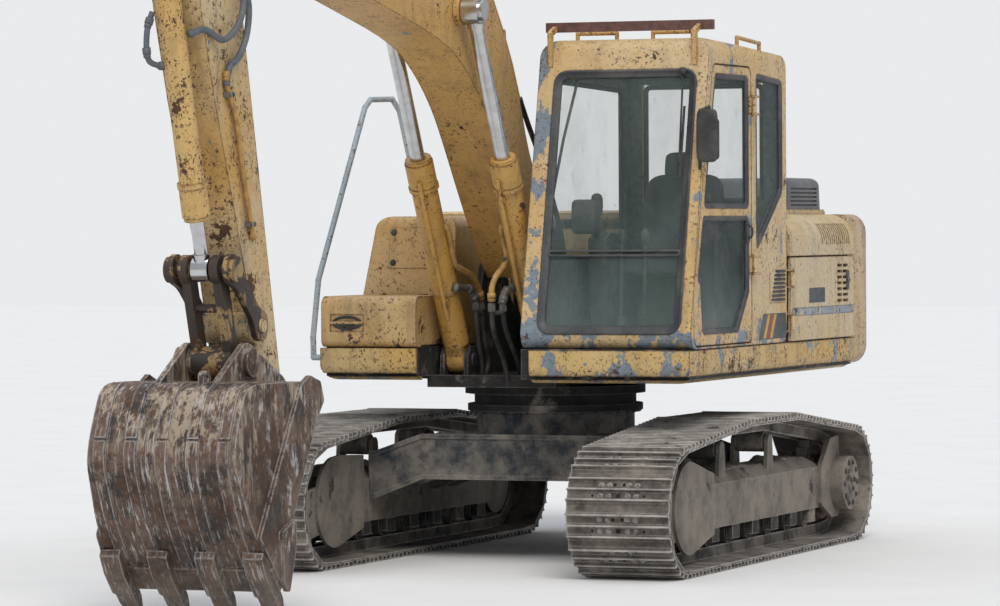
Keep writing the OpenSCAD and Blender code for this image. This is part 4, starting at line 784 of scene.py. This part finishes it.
shoes = belt_places(SHOES)
for s, side in SIDES:
    middle = s * TRACK_MIDDLE
    bolts("shoe_bolts_" + side, [(on_shoe(shoe, middle + q, row, SHOE_PLATE), out_of(shoe))
                                 for shoe in shoes for row in BOLT_ROWS for q in BOLT_STEPS],
          0.011, "undercarriage", "shoe")
    edges, holes = bmesh.new(), bmesh.new()
    for shoe in shoes:
        for along in GROUSERS:
            worn = [0.0050 + 0.0012 * rnd.random() for _ in GROUSER_STOPS[1:-1]]
            sweep(edges, [on_shoe(shoe, middle + q, along, GROUSER_TIP) for q in GROUSER_STOPS],
                  [0.0030, *worn, 0.0030], 6)
        # Each mud hole is a near-black disc on the plate: painted shade inside the hole.
        for along, q, r in MUD_HOLES:
            line = [on_shoe(shoe, middle + q, along, SHOE_PLATE - 0.0002) + out_of(shoe) * h
                    for h in (0, 0.0012, 0.0018)]
            sweep(holes, line, [r, r, r * 0.6], 9)
    riding(edges, "grouser_edges_" + side, "undercarriage", "worn_edge")
    riding(holes, "shoe_hole_shade_" + side, "undercarriage", "hole", smooth=False)
    bolts("roller_caps_" + side,
          [(at(ROLLER_BACK + ROLLER_PITCH * i, middle + way * 0.101, ROLLER_UP), (way, 0, 0))
           for i in range(ROLLERS) for way in (-1, 1)], 0.017, "undercarriage", "roller")
    cap_screws = (0.5, 2.6, 4.7)
    bolts("drum_bolts_" + side, round_axle(SPROCKET, 0.13, middle + s * 0.259, turns(10), s)
          + round_axle(SPROCKET, 0.035, middle + s * 0.272, cap_screws, s)
          + round_axle(IDLER, 0.02, middle + s * 0.128, cap_screws, s), 0.013, "undercarriage")

STUD_RING, RING_LOW = 0.495, 0.860
bolts("ring_studs", [(at(STUD_RING * math.cos(t), STUD_RING * math.sin(t), RING_LOW), (0, 0, -1))
                     for t in turns(36)], 0.014, "undercarriage", "dark")


# Mud that lies on the track frames and on the car body's beams
def frame_top(left):
    """The track frames are flat on top."""
    return 0.535


def beam_top(left):
    """The car body's beams fall towards their ends."""
    return 0.722 - max(0.0, abs(left) - 0.6) * 0.3


def clods(name, p0, p1, q0, q1, top, depth, seed):
    """Dried mud in heaps on a face whose height over each place to the left is top."""
    bm = bmesh.new()
    rows, cols = max(4, int((p1 - p0) / 0.02)), max(4, int(abs(q1 - q0) / 0.02))
    grid = []
    for i in range(rows + 1):
        row = []
        for j in range(cols + 1):
            u, v = i / rows, j / cols
            p, q = p0 + (p1 - p0) * u, q0 + (q1 - q0) * v
            fade = min(1, 6 * min(u, 1 - u), 6 * min(v, 1 - v))
            heap = noise.fractal(Vector((p * 5, q * 5, seed)), 0.8, 2.1, 5) * 0.6 + 0.35
            row.append(bm.verts.new(at(p, q, top(q) - 0.004 + depth * max(0.0, heap) * fade)))
        grid.append(row)
    for a, b in zip(grid, grid[1:]):
        for j in range(cols):
            bm.faces.new((a[j], b[j], b[j + 1], a[j + 1]))
    middle = (q0 + q1) / 2
    under = bm.verts.new(at((p0 + p1) / 2, middle, top(middle) - 0.01))
    rim = ([row[0] for row in grid] + grid[-1][1:] + [row[-1] for row in grid[-2::-1]]
           + grid[0][-2:0:-1])
    for a, b in zip(rim, rim[1:] + rim[:1]):
        bm.faces.new((a, under, b))
    return riding(bm, name, "undercarriage", "clod")


for i, (p0, p1) in enumerate(((-1.10, -0.56), (-0.30, 0.34), (0.60, 1.08))):
    for s, side in SIDES:
        clods("frame_mud_%s_%d" % (side, i), p0, p1, s * 0.99, s * 1.17, frame_top, 0.055,
              3 * i + s)
for i, p0 in enumerate((0.37, -0.59)):
    for s, side in SIDES:
        clods("beam_mud_%s_%d" % (side, i), p0, p0 + 0.22, s * 0.62, s * 0.86, beam_top, 0.02,
              7 + i + s)

# Window seals, wiper and pane strut
FRONT_ROWS = [(0, -0.018), (0, 0.001), (0.006, 0.006), (0.014, 0.003), (0.016, -0.004),
              (0.040, -0.006), (0.046, -0.012), (0.046, -0.019)]
SIDE_ROWS = [(0, -0.018), (0, 0.001), (0.005, 0.004), (0.012, 0.001), (0.028, -0.006),
             (0.030, -0.018)]
DIVIDER_ROWS = [(0, -0.019), (0, -0.006), (0.006, -0.002), (0.012, -0.002), (0.014, -0.019)]
FRONT_PANE = box_outline(0.338, 1.201, 1.335, 2.835)
FRONT_DIVIDER = box_outline(0.375, 1.165, 1.772, 1.812)
REAR_PANE = box_outline(0.373, 1.133, 2.080, 2.790)
DOOR_HIGH = [(0.160, 2.042), (0.9747, 2.042), (0.7613, 2.81), (0.160, 2.81)]
DOOR_LOW = [(0.160, 1.998), (0.9869, 1.998), (1.0905, 1.63), (1.045, 1.620), (1.005, 1.330),
            (0.365, 1.330), (0.160, 1.560)]
REAR_SIDE = [(0.020, 1.790), (0.020, 2.830), (-0.480, 2.800), (-0.480, 2.140)]
RIGHT_PANE = [(-0.470, 1.75), (1.0145, 1.75), (0.7825, 2.80), (-0.47, 2.77)]
door_side, cab_side = side_face(DOOR_FACE, 1), side_face(CAB_LEFT, 1)
moulding("front_seal", FRONT_PANE, 0.085, FRONT_ROWS, front_face, "upper", "seal")
moulding("front_divider", FRONT_DIVIDER, 0.01, DIVIDER_ROWS, front_face, "upper", "seal")
for name, outline, face, body in (
        ("door_seal_high", DOOR_HIGH, door_side, "cab_door"),
        ("door_seal_low", DOOR_LOW, door_side, "cab_door"),
        ("rear_side_seal", REAR_SIDE, cab_side, "upper"),
        ("right_seal", RIGHT_PANE, side_face(CAB_RIGHT, -1), "upper"),
        ("rear_seal", REAR_PANE, rear_face, "upper")):
    moulding(name, outline, 0.05, SIDE_ROWS, face, body, "seal")

wiper_arm = [front_face(*p) for p in ((1.115, 2.80, 0.0), (1.125, 2.55, 0.012), (1.130, 2.30, 0.010))]
wiper_blade = [front_face(1.135, up, -0.004) for up in (2.62, 2.42, 2.22)]
wiper_hub = [front_face(1.115, 2.82, lift) for lift in (-0.010, 0.018)]
tubes("wiper", [(wiper_arm, 0.006, 8), (wiper_blade, 0.008, 6), (wiper_hub, 0.022, 12)],
      "upper", "black")
strut = [front_face(left, up, -0.06) for left, up in ((0.46, 2.78), (0.40, 2.45), (0.355, 2.10))]
tubes("pane_strut", [(strut, 0.009, 8)], "upper", "black")

# Inside the cab
SEAT_MIDDLE, STICK_OUT, TRAVEL_OUT = 0.753, 0.33, 0.07
BACK_FOOT, BACK_LEAN = 1.73, 0.20


def seat_part(name, back, front, half, low, high, look="seat", power=5.0):
    """A cushion across the seat's middle plane, half its width to each side."""
    return cushion(name, at(front, SEAT_MIDDLE - half, low), at(back, SEAT_MIDDLE + half, high),
                   "upper", look, 10, power)


def leaned(o):
    """The piece sheared so that it leans back above the foot of the seat's back."""
    for v in o.data.vertices:
        v.co.y += max(0.0, v.co.z - BACK_FOOT) * BACK_LEAN
    return o


def gaiter(left, forward, up, lean, rise, radius, taper, ridge, folds):
    """The line and the radii of the bellows round a lever, from its foot up."""
    line = [at(forward + lean * i, left, up + rise * i) for i in range(folds)]
    return line, [radius - taper * i + (ridge if i % 2 else 0) for i in range(folds)]


base = seat_part("seat_base", -0.18, 0.22, 0.17, 1.312, 1.66, "black", 9.0)
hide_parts("operator_seat")
squab = seat_part("seat_cushion", -0.19, 0.315, 0.248, 1.645, 1.785)
back = leaned(seat_part("seat_back", -0.165, -0.035, 0.240, BACK_FOOT, 2.25))
head = leaned(seat_part("seat_headrest", -0.150, -0.055, 0.125, 2.225, 2.380))

STICK_GRIP = ((0.412, 2.030), (0.418, 2.06), (0.426, 2.10), (0.430, 2.125), (0.431, 2.135))
TRAVEL_GRIP = ((0.722, 1.84), (0.720, 1.87), (0.716, 1.91), (0.714, 1.93))
for s, side in reversed(SIDES):
    left = SEAT_MIDDLE + s * STICK_OUT
    bellows, radii = gaiter(left, 0.372, 1.872, 0.0026, 0.0095, 0.048, 0.0028, 0.006, 11)
    grip = [at(forward, left, up) for forward, up in STICK_GRIP]
    tubes("joystick_grip_" + side,
          [(bellows, radii, 14), (grip, [0.028, 0.033, 0.035, 0.028, 0.012], 14)],
          "upper", "rubber")
    left = SEAT_MIDDLE + s * TRAVEL_OUT
    bellows, radii = gaiter(left, 0.758, 1.350, -0.0005, 0.010, 0.036, 0.002, 0.005, 9)
    grip = [at(forward, left, up) for forward, up in TRAVEL_GRIP]
    tubes("travel_lever_grip_" + side,
          [(grip, [0.016, 0.024, 0.024, 0.010], 12), (bellows, radii, 12)], "upper", "rubber")
cushion("monitor", at(0.62, 0.33, 1.90), at(0.50, 0.48, 2.10), "upper", "black", 8, 7.0)

# The cab's side behind the door: louvres, their slots drawn as black strips of painted shade, and
# slanted stripes
LOUVRE_PANEL = [(-0.22, 1.485), (-0.22, 1.660), (-0.53, 1.730), (-0.53, 1.485)]
STRIPE_PATCH = [(-0.02, 1.275), (-0.54, 1.275), (-0.54, 1.425), (-0.10, 1.425)]
LOUVRE_BACK, LOUVRE_OUT = -0.52, 1.266
DECAL, DECAL_OVER = 0.0016, 1.2645
plate("louvre_panel", LOUVRE_PANEL, cab_side, "upper", "cab", 0.004)
# Each louvre's slot is a black strip: painted shade in the opening under the louvre's lip.
louvre_slot_shades = []
for i in range(8):
    front, up = -0.240 - 0.012 * i, 1.505 + 0.024 * i
    line = [at(front + (LOUVRE_BACK - front) * t, LOUVRE_OUT, up) for t in (0, 0.06, 0.5, 0.94, 1)]
    louvre_slot_shades.append((line, [0.002, 0.008, 0.009, 0.008, 0.002], 8))
tubes("cab_louvres", louvre_slot_shades, "upper", "black")
plate("stripe_patch", STRIPE_PATCH, cab_side, "upper", "stripe_dark", DECAL)
for i, (p, look) in enumerate(((-0.10, "stripe_yellow"), (-0.16, "stripe_red"),
                               (-0.22, "stripe_yellow"))):
    bar = [(p, 1.280), (p - 0.045, 1.280), (p - 0.135, 1.420), (p - 0.09, 1.420)]
    plate("stripe_bar_%d" % i, bar, side_face(DECAL_OVER, 1), "upper", look, DECAL, 0.003)

# The engine house's side doors: a band, a blank label and a latch
HOUSE_BAND = box_outline(-1.895, -0.64, 1.400, 1.450)
HOUSE_LABEL = box_outline(-1.30, -0.98, 1.475, 1.565)
LATCH = box_outline(-1.80, -1.745, 1.545, 1.665)
for s, side in SIDES:
    face, body = side_face(s * HOUSE_FACE, s), "side_door_" + side
    plate("house_band_" + side, HOUSE_BAND, face, body, "stripe_blue", DECAL)
    plate("house_label_" + side, HOUSE_LABEL, face, body, "stripe_dark", DECAL)
    plate("latch_plate_" + side, LATCH, face, body, "black", 0.006)
    knob = [face(-1.772, 1.605, lift) for lift in (0.005, 0.013, 0.019)]
    tubes("latch_knob_" + side, [(knob, [0.018, 0.018, 0.010], 14)], body, "fitting")

# The cab door's handle
plate("door_handle_plate", box_outline(0.150, 0.205, 1.845, 1.965), side_face(1.2615, 1),
      "cab_door", "black", 0.006)
handle = [at(0.178, left, up) for left, up in ((1.266, 1.865), (1.288, 1.885), (1.288, 1.93),
                                               (1.266, 1.95))]
tubes("door_handle", [(spline(handle, 5), 0.007, 8)], "cab_door", "black")

# The tank's panel and the tool box lid's handle
plate("tank_panel", box_outline(-0.945, -0.600, 1.700, 1.945), tank_face, "upper", "yellow",
      0.004, 0.02)
bolts("tank_bolts", [(tank_face(left, up, 0.003), (0, -1, 0.11)) for left in (-0.915, -0.635)
                     for up in (1.735, 1.915)], 0.014, "upper")
LID_FACE, LID_MIDDLE, LID_UP = 0.907, -0.955, 1.390
dish = [at(LID_FACE, LID_MIDDLE + 0.088 * math.cos(t), LID_UP + 0.034 * math.sin(t))
        for t in turns(28)]
grip = [at(*p) for p in ((0.900, -1.015, 1.392), (0.912, -0.990, 1.378), (0.912, -0.920, 1.378),
                         (0.900, -0.895, 1.392))]
tubes("lid_handle", [(dish + dish[:1], 0.008, 8, False), (spline(grip, 5), 0.007, 8)],
      "tool_box_lid", "black")

# The mirror's back
cushion("mirror_back", at(1.062, 1.247, 2.300), at(1.030, 1.370, 2.600), "upper", "black", 8, 6.0)


# Hoses and pipes
def soft_hose(name, points, radius, body, other=None, look="rubber"):
    """A rubber hose from the first point to the last. Where other is given it stays fixed in the
    scene, riding on neither body; else it rides on body.
    """
    line = line_of(points)
    bm = bmesh.new()
    sweep(bm, line, radius, 12)
    for a, b in ((line[0], line[2]), (line[-1], line[-3])):
        sweep(bm, [a, a + (b - a).normalized() * 0.024], radius * 1.2, 6)
    o = shown(bm, name, look)
    if other:
        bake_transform(o)
    else:
        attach(o, body)
    return o


def pipe(name, points, radius, body, look, nuts):
    """A steel pipe with a nut and its collar at each place of its line named, from 0 to 1."""
    bm = bmesh.new()
    line = line_of(points)
    sweep(bm, line, radius, 12)
    for t in nuts:
        i = min(int(t * (len(line) - 1)), len(line) - 2)
        d = (line[i + 1] - line[i]).normalized()
        sweep(bm, [line[i] - d * 0.016, line[i] + d * 0.016], radius * 1.5, 6)
        sweep(bm, [line[i] + d * 0.014, line[i] + d * 0.034], radius * 1.25, 12)
    return riding(bm, name, body, look)


# At the boom's foot, two hoses come up from the deck to a pipe and an elbow on each cylinder.
RAM_LEFT = {"left": 0.110, "right": -0.410}
RAM_FOOT, RAM_WAY = (0.500, 1.168), (0.475, 0.880)
HOSES = {
    "right": (
        [(0.450, -0.300, 1.013), (0.39, -0.290, 1.08), (0.37, -0.282, 1.16), (0.420, -0.280, 1.25),
         (0.458, -0.281, 1.36), (0.472, -0.282, 1.45), (0.486, -0.282, 1.53), (0.530, -0.284, 1.60),
         (0.625, -0.290, 1.665), (0.730, -0.305, 1.700), (0.800, -0.323, 1.745)],
        [(0.50, -0.270, 1.013), (0.47, -0.285, 1.07), (0.46, -0.288, 1.15), (0.505, -0.287, 1.25),
         (0.540, -0.286, 1.36), (0.556, -0.286, 1.45), (0.570, -0.286, 1.53), (0.640, -0.292, 1.582),
         (0.770, -0.326, 1.595)]),
    "left": (
        [(0.62, -0.060, 1.013), (0.66, -0.054, 1.09), (0.74, -0.045, 1.18), (0.880, -0.032, 1.29),
         (0.955, -0.024, 1.37), (0.980, -0.020, 1.45), (0.990, -0.018, 1.53), (0.985, -0.016, 1.60),
         (0.940, -0.006, 1.665), (0.880, 0.010, 1.710), (0.850, 0.024, 1.770)],
        [(0.52, -0.020, 1.013), (0.55, -0.015, 1.09), (0.62, -0.008, 1.18), (0.760, 0.002, 1.29),
         (0.840, 0.006, 1.37), (0.872, 0.008, 1.45), (0.882, 0.010, 1.52), (0.840, 0.014, 1.575),
         (0.765, 0.028, 1.592)]),
}


def on_ram(t, side, aside=0.0):
    """A place beside a boom cylinder's axis, t metres along it from its foot."""
    return (RAM_FOOT[0] + RAM_WAY[0] * t, RAM_LEFT[side] + aside, RAM_FOOT[1] + RAM_WAY[1] * t)


def ram_clamp(side, body):
    """The ring round a boom cylinder, with its two screws."""
    axis = Vector((0, -RAM_WAY[0], RAM_WAY[1]))
    centre = at(*on_ram(0.47, side))
    band = [centre + axis * h for h in (-0.018, -0.016, 0.016, 0.018)]
    screws = [[centre + Vector((x, y, 0)) for y in (-0.012, 0.012)] for x in (-0.086, 0.086)]
    return tubes("ram_clamp_" + side, [(band, [0.0755, 0.081, 0.081, 0.0755], 28, False)]
                 + [(line, 0.014, 6) for line in screws], body, "pipe")


for side, pair in HOSES.items():
    first, second = pair
    body, inward = "boom_barrel_" + side, 1 if side == "right" else -1
    high = [on_ram(t, side, inward * aside) for t, aside in ((0.90, 0.080), (0.86, 0.095),
                                                              (0.78, 0.095))]
    # Pipe and elbow start at the cylinder and cover the hoses' last points.
    pipe("ram_pipe_" + side, high + first[:5:-1], 0.0175, body, "pipe", (0.97,))
    pipe("ram_elbow_" + side, second[:5:-1], 0.0185, body, "fitting", (0.05, 0.5, 0.97))
    joints = [line_of(points[4:7]) for points in pair]
    fittings = [run for line in joints for run in ((line[8:12], 0.024, 6), (line[11:13], 0.021, 12))]
    tubes("ram_fittings_" + side, fittings + [([at(*first[5]), at(*second[5])], 0.014, 6)],
          body, "fitting", smooth=False)
    ram_clamp(side, body)
    for i, points in enumerate(pair):
        soft_hose("ram_hose_%s_%d" % (side, i), points, 0.0145, "upper", body)

# Two hoses from the deck up to the pipes on the boom's back
for i, (left, lean) in enumerate(((0.013 - 0.016, 0.0), (-0.313 + 0.016, 0.03))):
    points = [(-0.22 - lean, left, 1.013), (-0.24, left, 1.25), (-0.22, left, 1.55),
              (-0.14, left, 1.85), (0.02, left, 2.10), (0.24, left, 2.36), (0.42, left, 2.54),
              (0.560, left, 2.690)]
    soft_hose("boom_hose_%d" % i, points, 0.016, "upper", "boom")

# On the arm: a hose to the bucket cylinder's elbow, and one to the pipe along the arm's side
ARM_CLAMPS = ((4.610, 2.610), (4.362, 1.965))
soft_hose("bucket_ram_hose",
          [(4.540, -0.006, 3.330), (4.500, 0.010, 3.240), (4.482, 0.020, 3.150),
           (4.490, 0.024, 3.060), (4.530, 0.024, 2.985), (4.621, 0.022, 2.915),
           (4.740, 0.018, 2.880), (4.853, -0.020, 2.925), (4.940, -0.066, 2.900)],
          0.017, "arm", "bucket_barrel", "grey_hose")
soft_hose("arm_side_hose",
          [(4.510, -0.006, 3.215), (4.445, 0.006, 3.165), (4.412, 0.014, 3.090),
           (4.408, 0.016, 3.010), (4.440, 0.014, 2.900), (4.520, 0.008, 2.800),
           (4.600, 0.002, 2.757), (4.636, 0.000, 2.705), (4.642, -0.003, 2.655)],
          0.017, "arm", look="grey_hose")
pipe("arm_side_pipe", [(4.644, -0.002, 2.720), (4.638, 0.0, 2.65), (4.536, 0.0, 2.489),
                       (4.444, 0.0, 2.189), (4.352, 0.0, 1.935), (4.330, -0.014, 1.900)],
     0.013, "arm", "pipe", (0.03, 0.94))
bm = bmesh.new()
for p, z in ARM_CLAMPS:
    block(bm, at(p + 0.035, -0.022, z - 0.014), at(p - 0.035, 0.012, z + 0.014), 0.005)
riding(bm, "arm_pipe_clamps", "arm", "fitting", smooth=False)
bolts("arm_clamp_bolts", [(at(p + d, 0.011, z), (1, 0, 0)) for p, z in ARM_CLAMPS
                          for d in (-0.024, 0.024)], 0.008, "arm", "fitting")
pipe("bucket_ram_elbow", [(5.010, -0.232, 3.010), (5.036, -0.246, 2.930), (5.040, -0.250, 2.830),
                          (5.020, -0.245, 2.770), (4.960, -0.225, 2.750), (4.915, -0.200, 2.748)],
     0.015, "bucket_barrel", "grey_hose", (0.12, 0.45, 0.9))

# Floor
bpy.ops.mesh.primitive_plane_add(size=160, location=(0, 0, 0))
floor = bpy.context.object
floor.name = "floor"
ground = Look("pale_floor")
pale = ground.step(ground.noise(1.3, 6, 0.6), 0.2, 0.8)
pale = ground.mix(pale, (0.77, 0.765, 0.755), (0.73, 0.725, 0.715))
floor.data.materials.append(ground.done(pale, 0.95, Specular_IOR_Level=0.1))

scene.view_settings.view_transform = "Standard"
